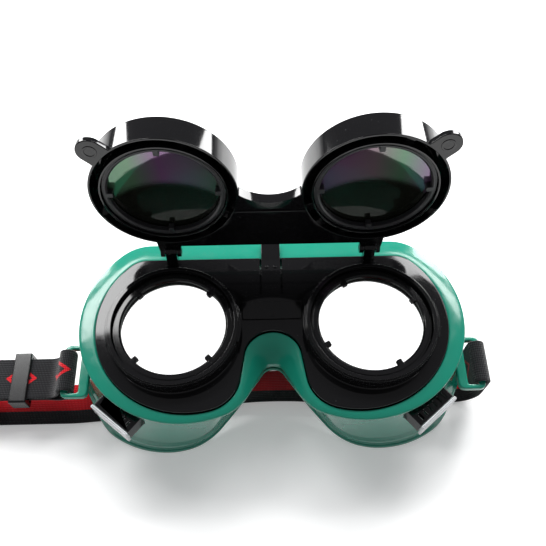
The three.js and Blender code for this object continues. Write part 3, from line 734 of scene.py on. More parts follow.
# ---- Vents ----------------------------------------------------------------------------------
class GOGGLES_OT_vents(bpy.types.Operator):
    """Build the four louvred vents and their covers"""

    bl_idname = "goggles.vents"
    bl_label = "Vents"

    def execute(self, context):
        plastic, pale = hard_plastic("Vent box", context, 0.07, 0.4), cover_plastic()
        louvres = context.scene.goggles.louvres
        pitch = 17.4 / louvres
        for name in VENTS:
            passage = vent_block(-2 * VENT_IN, VENT_OUT - 1.2, VENT_L - 4, VENT_H - 3.2, name, 0.3, 0.2)
            slots = []
            for step in range(louvres):
                y = (step - (louvres - 1) / 2) * pitch
                for middle, low, high in ((y, 1, VENT_H), (y + pitch / 2, -VENT_H, -1)):
                    near, far = middle - 0.25 * pitch, middle + 0.25 * pitch
                    slot = block([1.4, near, low], [VENT_OUT - 1.2, far, high], 0.4, 0.1)
                    slots.append((CUT, vent_placed(slot, name)))
            body = vent_block(-VENT_IN, VENT_OUT, VENT_L, VENT_H, name, 0.5, 0.5)
            box = shaped(f"louvre_box_{name}", body, *slots, (CUT, passage))
            finished(box, "mask", [f"vent_body_{name}"], plastic)
            inner = VENT_OUT + GAP
            lid = vent_block(inner, inner + 1.5, VENT_L + 0.8, VENT_H + 0.8, name, 0.5, 0.6)
            cover = linked(f"louvre_lid_{name}", mesh_of("lid", lid))
            finished(cover, "mask", [f"vent_cover_{name}"], pale)
        return {"FINISHED"}


# ---- Strap ----------------------------------------------------------------------------------
def strap_route():
    """The middle line as (x, y, z), with the lean of the strap's width in radians at each point.
    Straight stretches and tangent arcs follow each other in X and Z. The strap drifts forwards on
    its flat run and comes back round the bend, and leans up under the nose by a bell curve."""
    fold, drop, bend, run, back, tail = FOLD_R, DROP_R, BEND_X, STRAP_T / 2, RETURN_Z, TAIL_Z
    near, far = LUG_X - fold, LUG_X + fold
    bend_r, rise, tail_r, turn = (back - run) / 2, LUG_Z - back, LUG_Z - tail, math.pi / 2
    flat_run = np.column_stack([np.linspace(far - drop, bend, 120)[1:], np.full(119, run)])
    bend_arc = arc((bend, run + bend_r), bend_r, -turn, -3 * turn, 28)[1:]
    lines = [
        np.column_stack([np.full(6, near), np.linspace(LUG_Z - 8, LUG_Z, 6)]),
        arc((LUG_X, LUG_Z), fold, math.pi, 0, 20)[1:],
        arc((far - drop, run + drop), drop, 0, -turn, 20),
        flat_run, bend_arc,
        np.column_stack([np.linspace(bend, -far - rise, 20)[1:], np.full(19, back)]),
        arc((-far - rise, LUG_Z), rise, -turn, 0, 12)[1:],
        arc((-LUG_X, LUG_Z), fold, math.pi, 0, 20)[1:],
        arc((-near - tail_r, LUG_Z), tail_r, 0, -turn, 16)[1:],
        np.column_stack([np.linspace(-near - tail_r, TAIL_END, 20)[1:], np.full(19, tail)]),
    ]
    flat = np.concatenate(lines)
    drift, lean = np.zeros(len(flat)), np.zeros(len(flat))
    start = sum(len(line) for line in lines[:3])
    middle, end = start + len(flat_run), start + len(flat_run) + len(bend_arc)
    x = flat[start:middle, 0]
    under_lens = np.exp(-(((np.abs(x) - 50) / 26) ** 4))
    under_nose = np.exp(-((x / 42) ** 2))
    drift[start:middle] = -6.5 * smoothstep(-x, 35, 100) - 0.8 * under_nose - 3.2 * under_lens
    drift[middle:end] = drift[middle - 1] * (1 - smoothstep(np.linspace(0, 1, end - middle), 0, 1))
    lean[start:middle] = math.radians(22) * np.exp(-((x / 38) ** 2))
    tail_points = len(lines[-2]) + len(lines[-1])
    drift[-tail_points:] = 0.7 * smoothstep(-flat[-tail_points:, 0], 96, 108)
    line = np.column_stack([flat[:, 0], STRAP_Y + drift, flat[:, 1] + STRAP_HALF * np.sin(lean)])
    return line, lean


def strap_surface():
    """A thin band with rounded selvages carried along the route. Its width leans as the route says,
    and its thickness stands square to the width and the direction of travel."""
    line, lean = strap_route()
    along = np.gradient(line, axis=0)
    along /= np.linalg.norm(along, axis=1, keepdims=True)
    width = np.column_stack([np.zeros(len(lean)), np.cos(lean), -np.sin(lean)])
    width -= np.sum(width * along, axis=1, keepdims=True) * along
    width /= np.linalg.norm(width, axis=1, keepdims=True)
    outward = np.cross(along, width)
    half, thick, step = STRAP_HALF - 0.6, STRAP_T / 2, np.linspace(-math.pi / 2, math.pi / 2, 7)[1:-1]
    face = np.linspace(half, -half, 17)
    across = np.concatenate([face, -half - 0.6 * np.cos(step), -face, half + 0.6 * np.cos(step)])
    flat, edge = np.full(17, thick), thick * np.sin(step)
    through = np.concatenate([flat, -edge, -flat, edge])
    points = (line[:, None] + across[None, :, None] * width[:, None]
              + through[None, :, None] * outward[:, None])
    distance = np.concatenate([[0], np.cumsum(np.linalg.norm(np.diff(line, axis=0), axis=1))])
    return grid(points, capped=True), distance, across, through


class GOGGLES_OT_strap(bpy.types.Operator):
    """Build the woven elastic strap"""

    bl_idname = "goggles.strap"
    bl_label = "Strap"

    def execute(self, context):
        surface, distance, across, through = strap_surface()
        mesh = mesh_of("woven_strap", surface)
        rows, columns = len(distance), len(across)
        values = {
            "along": np.repeat(distance * MM, columns),
            "across": np.tile(across * MM, rows),
            "outside": np.tile(through / (STRAP_T / 2), rows),
        }
        if len(mesh.vertices) != rows * columns:
            raise RuntimeError("the strap's points were merged, so its weave has no place")
        for name, value in values.items():
            mesh.attributes.new(name, "FLOAT", "POINT").data.foreach_set("value", value)
        cloth = webbing(context.scene.goggles)
        finished(linked("woven_strap", mesh), "mask", ["strap"], cloth, 50)
        return {"FINISHED"}


class GOGGLES_OT_slider(bpy.types.Operator):
    """Build the strap's moulded slider"""

    bl_idname = "goggles.slider"
    bl_label = "Strap slider"

    def execute(self, context):
        (x0, y0, z0), (x1, y1, z1) = SLIDER_LOW, SLIDER_HIGH
        body = side_on(prism(rectangle(y0, y1, z0, z1, 1.2), x0, x1, 0.6))
        room, reach = STRAP_T / 2 + 0.35, STRAP_HALF + 0.6
        slots = [(CUT, side_on(prism(rectangle(STRAP_Y - reach, STRAP_Y + reach, z - room, z + room, 0.5),
                                     x0 - 2, x1 + 2, 0.1))) for z in (TAIL_Z, RETURN_Z)]
        finished(shaped("buckle_slider", body, *slots), "slider", ["strap_slider"],
                 hard_plastic("Satin slider", context, 0.22, 0.5))
        return {"FINISHED"}


# ---- Materials ------------------------------------------------------------------------------
def bare_material(name):
    """A material without nodes, its nodes and its links."""
    material = bpy.data.materials.new(name)
    material.use_nodes = True
    material.node_tree.nodes.clear()
    return material, material.node_tree.nodes, material.node_tree.links


def framed(nodes, groups, across, down):
    """Puts each labelled group of nodes in a frame of its own, one row to a group."""
    for row, (label, members) in enumerate(groups.items()):
        frame_node = nodes.new("NodeFrame")
        frame_node.label = label
        for column, node in enumerate(members):
            node.parent = frame_node
            node.location = (across * column, -down * row)


def soft_plastic(colour):
    """Glossy PVC: slow mottling of its colour, a soft moulded ripple, and faint scuffs that dull it."""
    material, nodes, links = bare_material("Soft green PVC")
    place = nodes.new("ShaderNodeTexCoord")
    place.label = "Place on the mask"
    mottle = nodes.new("ShaderNodeTexNoise")
    mottle.label = "Slow mottling"
    mottle.inputs["Scale"].default_value = 38
    mottle.inputs["Detail"].default_value = 3
    tint = nodes.new("ShaderNodeMixRGB")
    tint.label = "Deeper and paler PVC"
    tint.inputs["Color1"].default_value = (*[0.95 * part for part in colour], 1)
    tint.inputs["Color2"].default_value = (*[min(1, 1.05 * part) for part in colour], 1)
    ripple = nodes.new("ShaderNodeTexNoise")
    ripple.label = "Moulded ripple"
    ripple.inputs["Scale"].default_value = 160
    ripple.inputs["Detail"].default_value = 2
    grain = nodes.new("ShaderNodeTexNoise")
    grain.label = "Fine surface grain"
    grain.inputs["Scale"].default_value = 2600
    relief = nodes.new("ShaderNodeMath")
    relief.label = "Ripple with some grain"
    relief.operation = "MULTIPLY_ADD"
    relief.inputs[1].default_value = 0.06
    bump = nodes.new("ShaderNodeBump")
    bump.label = "Soft relief"
    bump.inputs["Strength"].default_value = 0.2
    bump.inputs["Distance"].default_value = 0.0002
    scuff = nodes.new("ShaderNodeTexNoise")
    scuff.label = "Scuffed patches"
    scuff.inputs["Scale"].default_value = 210
    scuff.inputs["Detail"].default_value = 6
    dull = nodes.new("ShaderNodeMapRange")
    dull.label = "Roughness of gloss and scuffs"
    dull.inputs["From Min"].default_value = 0.42
    dull.inputs["From Max"].default_value = 0.72
    dull.inputs["To Min"].default_value = 0.13
    dull.inputs["To Max"].default_value = 0.22
    skin = nodes.new("ShaderNodeBsdfPrincipled")
    skin.label = "Soft PVC"
    skin.inputs["IOR"].default_value = 1.52
    skin.inputs["Subsurface Weight"].default_value = 0.08
    skin.inputs["Subsurface Radius"].default_value = (0.5, 1.0, 0.8)
    skin.inputs["Subsurface Scale"].default_value = 0.004
    skin.inputs["Coat Weight"].default_value = 0.35
    skin.inputs["Coat Roughness"].default_value = 0.05
    output = nodes.new("ShaderNodeOutputMaterial")
    output.label = "Mask surface"
    links.new(place.outputs["Object"], mottle.inputs["Vector"])
    links.new(place.outputs["Object"], ripple.inputs["Vector"])
    links.new(place.outputs["Object"], grain.inputs["Vector"])
    links.new(place.outputs["Object"], scuff.inputs["Vector"])
    links.new(mottle.outputs["Fac"], tint.inputs["Fac"])
    links.new(grain.outputs["Fac"], relief.inputs[0])
    links.new(ripple.outputs["Fac"], relief.inputs[2])
    links.new(relief.outputs["Value"], bump.inputs["Height"])
    links.new(scuff.outputs["Fac"], dull.inputs["Value"])
    links.new(tint.outputs["Color"], skin.inputs["Base Color"])
    links.new(dull.outputs["Result"], skin.inputs["Roughness"])
    links.new(bump.outputs["Normal"], skin.inputs["Normal"])
    links.new(skin.outputs["BSDF"], output.inputs["Surface"])
    groups = {"Colour": (mottle, tint), "Relief": (ripple, grain, relief, bump), "Wear": (scuff, dull)}
    framed(nodes, groups, 220, 320)
    place.location, skin.location, output.location = (-260, -300), (960, -200), (1260, -200)
    return material


def hard_plastic(name, context, gloss, dust, painted_reflection_gain=1.0):
    """Black moulded plastic: a fine orange-peel, hair scratches stretched along one way, and specks of
    dust that lie on it and dull it."""
    # A gain above one makes the colour paler: a painted reflection of the white floor.
    colour = [painted_reflection_gain * part for part in context.scene.goggles.hard_colour]
    material, nodes, links = bare_material(name)
    place = nodes.new("ShaderNodeTexCoord")
    place.label = "Place on the plastic"
    peel = nodes.new("ShaderNodeTexNoise")
    peel.label = "Orange peel"
    peel.inputs["Scale"].default_value = 420
    peel.inputs["Detail"].default_value = 2
    stretch = nodes.new("ShaderNodeMapping")
    stretch.label = "Draw scratches out"
    stretch.inputs["Rotation"].default_value = (0.3, 0.2, 0.7)
    stretch.inputs["Scale"].default_value = (60, 2400, 900)
    scratch = nodes.new("ShaderNodeTexNoise")
    scratch.label = "Hair scratches"
    scratch.inputs["Scale"].default_value = 1
    scratch.inputs["Detail"].default_value = 2
    depth = nodes.new("ShaderNodeMapRange")
    depth.label = "Only the deepest scratches"
    depth.inputs["From Min"].default_value = 0.66
    depth.inputs["From Max"].default_value = 0.72
    depth.inputs["To Max"].default_value = 0.25
    relief = nodes.new("ShaderNodeMath")
    relief.label = "Peel less scratches"
    relief.operation = "SUBTRACT"
    bump = nodes.new("ShaderNodeBump")
    bump.label = "Fine relief"
    bump.inputs["Strength"].default_value = 0.035
    bump.inputs["Distance"].default_value = 0.0001
    speck = nodes.new("ShaderNodeTexVoronoi")
    speck.label = "Specks of dust"
    speck.inputs["Scale"].default_value = 420
    near = nodes.new("ShaderNodeMapRange")
    near.label = "Small specks"
    near.inputs["From Min"].default_value = 0.10
    near.inputs["From Max"].default_value = 0.05
    patch = nodes.new("ShaderNodeTexNoise")
    patch.label = "Where dust settles"
    patch.inputs["Scale"].default_value = 55
    settled = nodes.new("ShaderNodeMapRange")
    settled.label = "Patches of dust"
    settled.inputs["From Min"].default_value = 0.5
    settled.inputs["From Max"].default_value = 0.75
    settled.inputs["To Max"].default_value = dust
    dusty = nodes.new("ShaderNodeMath")
    dusty.label = "Specks in patches"
    dusty.operation = "MULTIPLY"
    tint = nodes.new("ShaderNodeMixRGB")
    tint.label = "Plastic or dust"
    tint.inputs["Color1"].default_value = (*colour, 1)
    tint.inputs["Color2"].default_value = (0.20, 0.20, 0.20, 1)
    dull = nodes.new("ShaderNodeMapRange")
    dull.label = "Roughness from gloss to dusty"
    dull.inputs["To Min"].default_value = gloss
    dull.inputs["To Max"].default_value = gloss + 0.05
    skin = nodes.new("ShaderNodeBsdfPrincipled")
    skin.label = "Black plastic"
    skin.inputs["IOR"].default_value = 1.53
    output = nodes.new("ShaderNodeOutputMaterial")
    output.label = "Plastic surface"
    links.new(place.outputs["Object"], peel.inputs["Vector"])
    links.new(place.outputs["Object"], stretch.inputs["Vector"])
    links.new(stretch.outputs["Vector"], scratch.inputs["Vector"])
    links.new(scratch.outputs["Fac"], depth.inputs["Value"])
    links.new(peel.outputs["Fac"], relief.inputs[0])
    links.new(depth.outputs["Result"], relief.inputs[1])
    links.new(relief.outputs["Value"], bump.inputs["Height"])
    links.new(place.outputs["Object"], speck.inputs["Vector"])
    links.new(place.outputs["Object"], patch.inputs["Vector"])
    links.new(speck.outputs["Distance"], near.inputs["Value"])
    links.new(patch.outputs["Fac"], settled.inputs["Value"])
    links.new(near.outputs["Result"], dusty.inputs[0])
    links.new(settled.outputs["Result"], dusty.inputs[1])
    links.new(dusty.outputs["Value"], tint.inputs["Fac"])
    links.new(patch.outputs["Fac"], dull.inputs["Value"])
    links.new(tint.outputs["Color"], skin.inputs["Base Color"])
    links.new(dull.outputs["Result"], skin.inputs["Roughness"])
    links.new(bump.outputs["Normal"], skin.inputs["Normal"])
    links.new(skin.outputs["BSDF"], output.inputs["Surface"])
    groups = {"Relief": (peel, stretch, scratch, depth, relief, bump),
              "Dust": (speck, near, patch, settled, dusty, tint), "Gloss": (dull,)}
    framed(nodes, groups, 220, 320)
    place.location, skin.location, output.location = (-260, -300), (1420, -200), (1720, -200)
    return material


def clear_glass():
    """Clear cover lens: polished glass with faint smears. Lamps and soft light pass straight through."""
    material, nodes, links = bare_material("Clear lens glass")
    place = nodes.new("ShaderNodeTexCoord")
    place.label = "Place on the lens"
    smear = nodes.new("ShaderNodeTexNoise")
    smear.label = "Wiped smears"
    smear.inputs["Scale"].default_value = 45
    smear.inputs["Detail"].default_value = 4
    polish = nodes.new("ShaderNodeMapRange")
    polish.label = "Roughness of the smears"
    polish.inputs["From Min"].default_value = 0.4
    polish.inputs["From Max"].default_value = 0.8
    polish.inputs["To Min"].default_value = 0.0
    polish.inputs["To Max"].default_value = 0.03
    skin = nodes.new("ShaderNodeBsdfPrincipled")
    skin.label = "Polished glass"
    skin.inputs["Base Color"].default_value = (0.985, 0.995, 0.99, 1)
    skin.inputs["IOR"].default_value = 1.46
    skin.inputs["Transmission Weight"].default_value = 1
    clear = nodes.new("ShaderNodeBsdfTransparent")
    clear.label = "Light passes"
    ray = nodes.new("ShaderNodeLightPath")
    ray.label = "Which light"
    either = nodes.new("ShaderNodeMath")
    either.label = "Lamp or soft light"
    either.operation = "MAXIMUM"
    direct = nodes.new("ShaderNodeMath")
    direct.label = "Most of the direct view"
    direct.operation = "MULTIPLY_ADD"
    direct.use_clamp = True
    direct.inputs[1].default_value = 0.9
    choice = nodes.new("ShaderNodeMixShader")
    choice.label = "Glass to the eye"
    output = nodes.new("ShaderNodeOutputMaterial")
    output.label = "Lens surface"
    links.new(place.outputs["Object"], smear.inputs["Vector"])
    links.new(smear.outputs["Fac"], polish.inputs["Value"])
    links.new(polish.outputs["Result"], skin.inputs["Roughness"])
    links.new(ray.outputs["Is Shadow Ray"], either.inputs[0])
    links.new(ray.outputs["Is Diffuse Ray"], either.inputs[1])
    links.new(ray.outputs["Is Camera Ray"], direct.inputs[0])
    links.new(either.outputs["Value"], direct.inputs[2])
    links.new(direct.outputs["Value"], choice.inputs["Fac"])
    links.new(skin.outputs["BSDF"], choice.inputs[1])
    links.new(clear.outputs["BSDF"], choice.inputs[2])
    links.new(choice.outputs["Shader"], output.inputs["Surface"])
    groups = {"Polish": (place, smear, polish, skin), "Light": (ray, either, direct, clear)}
    framed(nodes, groups, 240, 360)
    choice.location, output.location = (1040, -160), (1260, -160)
    return material


def dark_glass(name, middle):
    """Dark filter glass. Above an arched edge, a thin coating runs through bands of green and purple
    across the lens, its tint carrying a painted reflection; below the arch the glass is left near black,
    without the painted reflection. Faint smears dull it."""
    # Colours across each lens, from 0 to 1: the coating's tint with a painted reflection.
    bands = {
        "left": ((0.0, (0.030, 0.075, 0.045)), (0.32, (0.045, 0.085, 0.050)),
                 (0.55, (0.085, 0.040, 0.090)), (0.75, (0.070, 0.055, 0.080)),
                 (1.0, (0.050, 0.065, 0.052))),
        "right": ((0.0, (0.060, 0.040, 0.085)), (0.30, (0.085, 0.045, 0.080)),
                  (0.52, (0.085, 0.060, 0.070)), (0.74, (0.040, 0.085, 0.050)),
                  (1.0, (0.075, 0.045, 0.085))),
    }[name]
    material, nodes, links = bare_material(f"Dark filter glass {name}")
    place = nodes.new("ShaderNodeTexCoord")
    place.label = "Place on the lens"
    centre = nodes.new("ShaderNodeMapping")
    centre.label = "Across the lens from 0 to 1"
    centre.inputs["Scale"].default_value = (20, 20, 20)
    centre.inputs["Location"].default_value = (0.5 - 20 * middle, 0, 0)
    parts = nodes.new("ShaderNodeSeparateXYZ")
    parts.label = "Only the way across"
    waver = nodes.new("ShaderNodeTexNoise")
    waver.label = "Uneven coating"
    waver.inputs["Scale"].default_value = 28
    shifted = nodes.new("ShaderNodeMath")
    shifted.label = "Bands that waver"
    shifted.operation = "MULTIPLY_ADD"
    shifted.inputs[1].default_value = 0.12
    tint = nodes.new("ShaderNodeValToRGB")
    tint.label = "Coating tints with painted reflection"
    spread = nodes.new("ShaderNodeVectorMath")
    spread.label = "Distance from below the lens"
    spread.operation = "DISTANCE"
    spread.inputs[1].default_value = (middle, 0.040, 0.058)
    # Below the arch the colour is left near black; above it the painted reflection shows.
    arch = nodes.new("ShaderNodeMapRange")
    arch.label = "Arched edge of the painted reflection"
    arch.interpolation_type = "SMOOTHSTEP"
    arch.inputs["From Min"].default_value = 0.0325
    arch.inputs["From Max"].default_value = 0.0365
    layer = nodes.new("ShaderNodeMix")
    layer.label = "Near black below, painted reflection above"
    layer.data_type = "RGBA"
    layer.inputs["A"].default_value = (0.013, 0.015, 0.010, 1)
    while len(tint.color_ramp.elements) < len(bands):
        tint.color_ramp.elements.new(0.5)
    for element, (position, colour) in zip(tint.color_ramp.elements, bands):
        element.position = position
        element.color = (*[2.6 * part for part in colour], 1)
    smear = nodes.new("ShaderNodeTexNoise")
    smear.label = "Wiped smears"
    smear.inputs["Scale"].default_value = 70
    smear.inputs["Detail"].default_value = 5
    polish = nodes.new("ShaderNodeMapRange")
    polish.label = "Roughness of the smears"
    polish.inputs["To Min"].default_value = 0.02
    polish.inputs["To Max"].default_value = 0.05
    skin = nodes.new("ShaderNodeBsdfPrincipled")
    skin.label = "Coated dark glass"
    skin.inputs["Metallic"].default_value = 0.6
    skin.inputs["IOR"].default_value = 1.5
    skin.inputs["Coat Weight"].default_value = 0.4
    skin.inputs["Coat Roughness"].default_value = 0.03
    output = nodes.new("ShaderNodeOutputMaterial")
    output.label = "Filter surface"
    links.new(place.outputs["Object"], centre.inputs["Vector"])
    links.new(place.outputs["Object"], waver.inputs["Vector"])
    links.new(place.outputs["Object"], smear.inputs["Vector"])
    links.new(centre.outputs["Vector"], parts.inputs["Vector"])
    links.new(waver.outputs["Fac"], shifted.inputs[0])
    links.new(parts.outputs["X"], shifted.inputs[2])
    links.new(shifted.outputs["Value"], tint.inputs["Fac"])
    links.new(smear.outputs["Fac"], polish.inputs["Value"])
    links.new(place.outputs["Object"], spread.inputs[0])
    links.new(spread.outputs["Value"], arch.inputs["Value"])
    links.new(arch.outputs["Result"], layer.inputs["Factor"])
    links.new(tint.outputs["Color"], layer.inputs["B"])
    links.new(layer.outputs["Result"], skin.inputs["Base Color"])
    links.new(polish.outputs["Result"], skin.inputs["Roughness"])
    links.new(skin.outputs["BSDF"], output.inputs["Surface"])
    # The Coating frame holds the tint bands, which carry the painted reflection too.
    groups = {"Coating": (centre, parts, waver, shifted, tint), "Arch": (spread, arch, layer),
              "Polish": (smear, polish)}
    framed(nodes, groups, 220, 340)
    place.location, skin.location, output.location = (-260, -200), (1260, -100), (1560, -100)
    return material


def soft_rubber():
    """Matt rubber with a powdery mottle and a pitted grain."""
    material, nodes, links = bare_material("Matt rubber")
    place = nodes.new("ShaderNodeTexCoord")
    place.label = "Place on the washer"
    powder = nodes.new("ShaderNodeTexNoise")
    powder.label = "Powdery mottle"
    powder.inputs["Scale"].default_value = 300
    tint = nodes.new("ShaderNodeMixRGB")
    tint.label = "Rubber and powder"
    tint.inputs["Color1"].default_value = (0.012, 0.012, 0.012, 1)
    tint.inputs["Color2"].default_value = (0.045, 0.045, 0.045, 1)
    pits = nodes.new("ShaderNodeTexNoise")
    pits.label = "Pitted grain"
    pits.inputs["Scale"].default_value = 1800
    bump = nodes.new("ShaderNodeBump")
    bump.label = "Grain relief"
    bump.inputs["Strength"].default_value = 0.4
    bump.inputs["Distance"].default_value = 0.0001
    skin = nodes.new("ShaderNodeBsdfPrincipled")
    skin.label = "Rubber"
    skin.inputs["Roughness"].default_value = 0.75
    output = nodes.new("ShaderNodeOutputMaterial")
    output.label = "Washer surface"
    links.new(place.outputs["Object"], powder.inputs["Vector"])
    links.new(place.outputs["Object"], pits.inputs["Vector"])
    links.new(powder.outputs["Fac"], tint.inputs["Fac"])
    links.new(pits.outputs["Fac"], bump.inputs["Height"])
    links.new(tint.outputs["Color"], skin.inputs["Base Color"])
    links.new(bump.outputs["Normal"], skin.inputs["Normal"])
    links.new(skin.outputs["BSDF"], output.inputs["Surface"])
    groups = {"Colour": (powder, tint), "Grain": (pits, bump)}
    framed(nodes, groups, 220, 300)
    place.location, skin.location, output.location = (-260, -150), (520, -100), (820, -100)
    return material


def bright_steel():
    """Drawn steel: fine lines along the pin that change its roughness and stand in its relief."""
    material, nodes, links = bare_material("Drawn steel")
    place = nodes.new("ShaderNodeTexCoord")
    place.label = "Place on the pin"
    draw = nodes.new("ShaderNodeMapping")
    draw.label = "Draw lines out along the pin"
    draw.inputs["Scale"].default_value = (120, 4000, 4000)
    lines = nodes.new("ShaderNodeTexNoise")
    lines.label = "Drawing lines"
    lines.inputs["Scale"].default_value = 1
    polish = nodes.new("ShaderNodeMapRange")
    polish.label = "Roughness of the lines"
    polish.inputs["To Min"].default_value = 0.2
    polish.inputs["To Max"].default_value = 0.42
    bump = nodes.new("ShaderNodeBump")
    bump.label = "Line relief"
    bump.inputs["Strength"].default_value = 0.2
    bump.inputs["Distance"].default_value = 0.00005
    skin = nodes.new("ShaderNodeBsdfPrincipled")
    skin.label = "Steel"
    skin.inputs["Base Color"].default_value = (0.56, 0.56, 0.58, 1)
    skin.inputs["Metallic"].default_value = 1
    output = nodes.new("ShaderNodeOutputMaterial")
    output.label = "Pin surface"
    links.new(place.outputs["Object"], draw.inputs["Vector"])
    links.new(draw.outputs["Vector"], lines.inputs["Vector"])
    links.new(lines.outputs["Fac"], polish.inputs["Value"])
    links.new(lines.outputs["Fac"], bump.inputs["Height"])
    links.new(polish.outputs["Result"], skin.inputs["Roughness"])
    links.new(bump.outputs["Normal"], skin.inputs["Normal"])
    links.new(skin.outputs["BSDF"], output.inputs["Surface"])
    lines_frame = nodes.new("NodeFrame")
    lines_frame.label = "Drawn lines"
    for column, node in enumerate((place, draw, lines, polish, bump)):
        node.parent = lines_frame
        node.location = (220 * column, 0)
    skin.location, output.location = (1140, 0), (1440, 0)
    return material


def cover_plastic():
    """Glossy pale plastic that has yellowed a little in clouds, with a soft moulded ripple."""
    material, nodes, links = bare_material("Pale cover plastic")
    place = nodes.new("ShaderNodeTexCoord")
    place.label = "Place on the cover"
    cloud = nodes.new("ShaderNodeTexNoise")
    cloud.label = "Slow clouds"
    cloud.inputs["Scale"].default_value = 90
    tint = nodes.new("ShaderNodeMixRGB")
    tint.label = "Fresh and aged plastic"
    tint.inputs["Color1"].default_value = (0.62, 0.64, 0.68, 1)
    tint.inputs["Color2"].default_value = (0.70, 0.71, 0.70, 1)
    ripple = nodes.new("ShaderNodeTexNoise")
    ripple.label = "Moulded ripple"
    ripple.inputs["Scale"].default_value = 500
    bump = nodes.new("ShaderNodeBump")
    bump.label = "Ripple relief"
    bump.inputs["Strength"].default_value = 0.15
    bump.inputs["Distance"].default_value = 0.0001
    polish = nodes.new("ShaderNodeMapRange")
    polish.label = "Roughness of the ripple"
    polish.inputs["To Min"].default_value = 0.08
    polish.inputs["To Max"].default_value = 0.2
    skin = nodes.new("ShaderNodeBsdfPrincipled")
    skin.label = "Pale plastic"
    skin.inputs["IOR"].default_value = 1.5
    skin.inputs["Coat Weight"].default_value = 0.4
    output = nodes.new("ShaderNodeOutputMaterial")
    output.label = "Cover surface"
    links.new(place.outputs["Object"], cloud.inputs["Vector"])
    links.new(place.outputs["Object"], ripple.inputs["Vector"])
    links.new(cloud.outputs["Fac"], tint.inputs["Fac"])
    links.new(ripple.outputs["Fac"], bump.inputs["Height"])
    links.new(ripple.outputs["Fac"], polish.inputs["Value"])
    links.new(tint.outputs["Color"], skin.inputs["Base Color"])
    links.new(polish.outputs["Result"], skin.inputs["Roughness"])
    links.new(bump.outputs["Normal"], skin.inputs["Normal"])
    links.new(skin.outputs["BSDF"], output.inputs["Surface"])
    groups = {"Colour": (cloud, tint), "Ripple": (ripple, bump, polish)}
    framed(nodes, groups, 220, 300)
    place.location, skin.location, output.location = (-260, -150), (740, -100), (1040, -100)
    return material


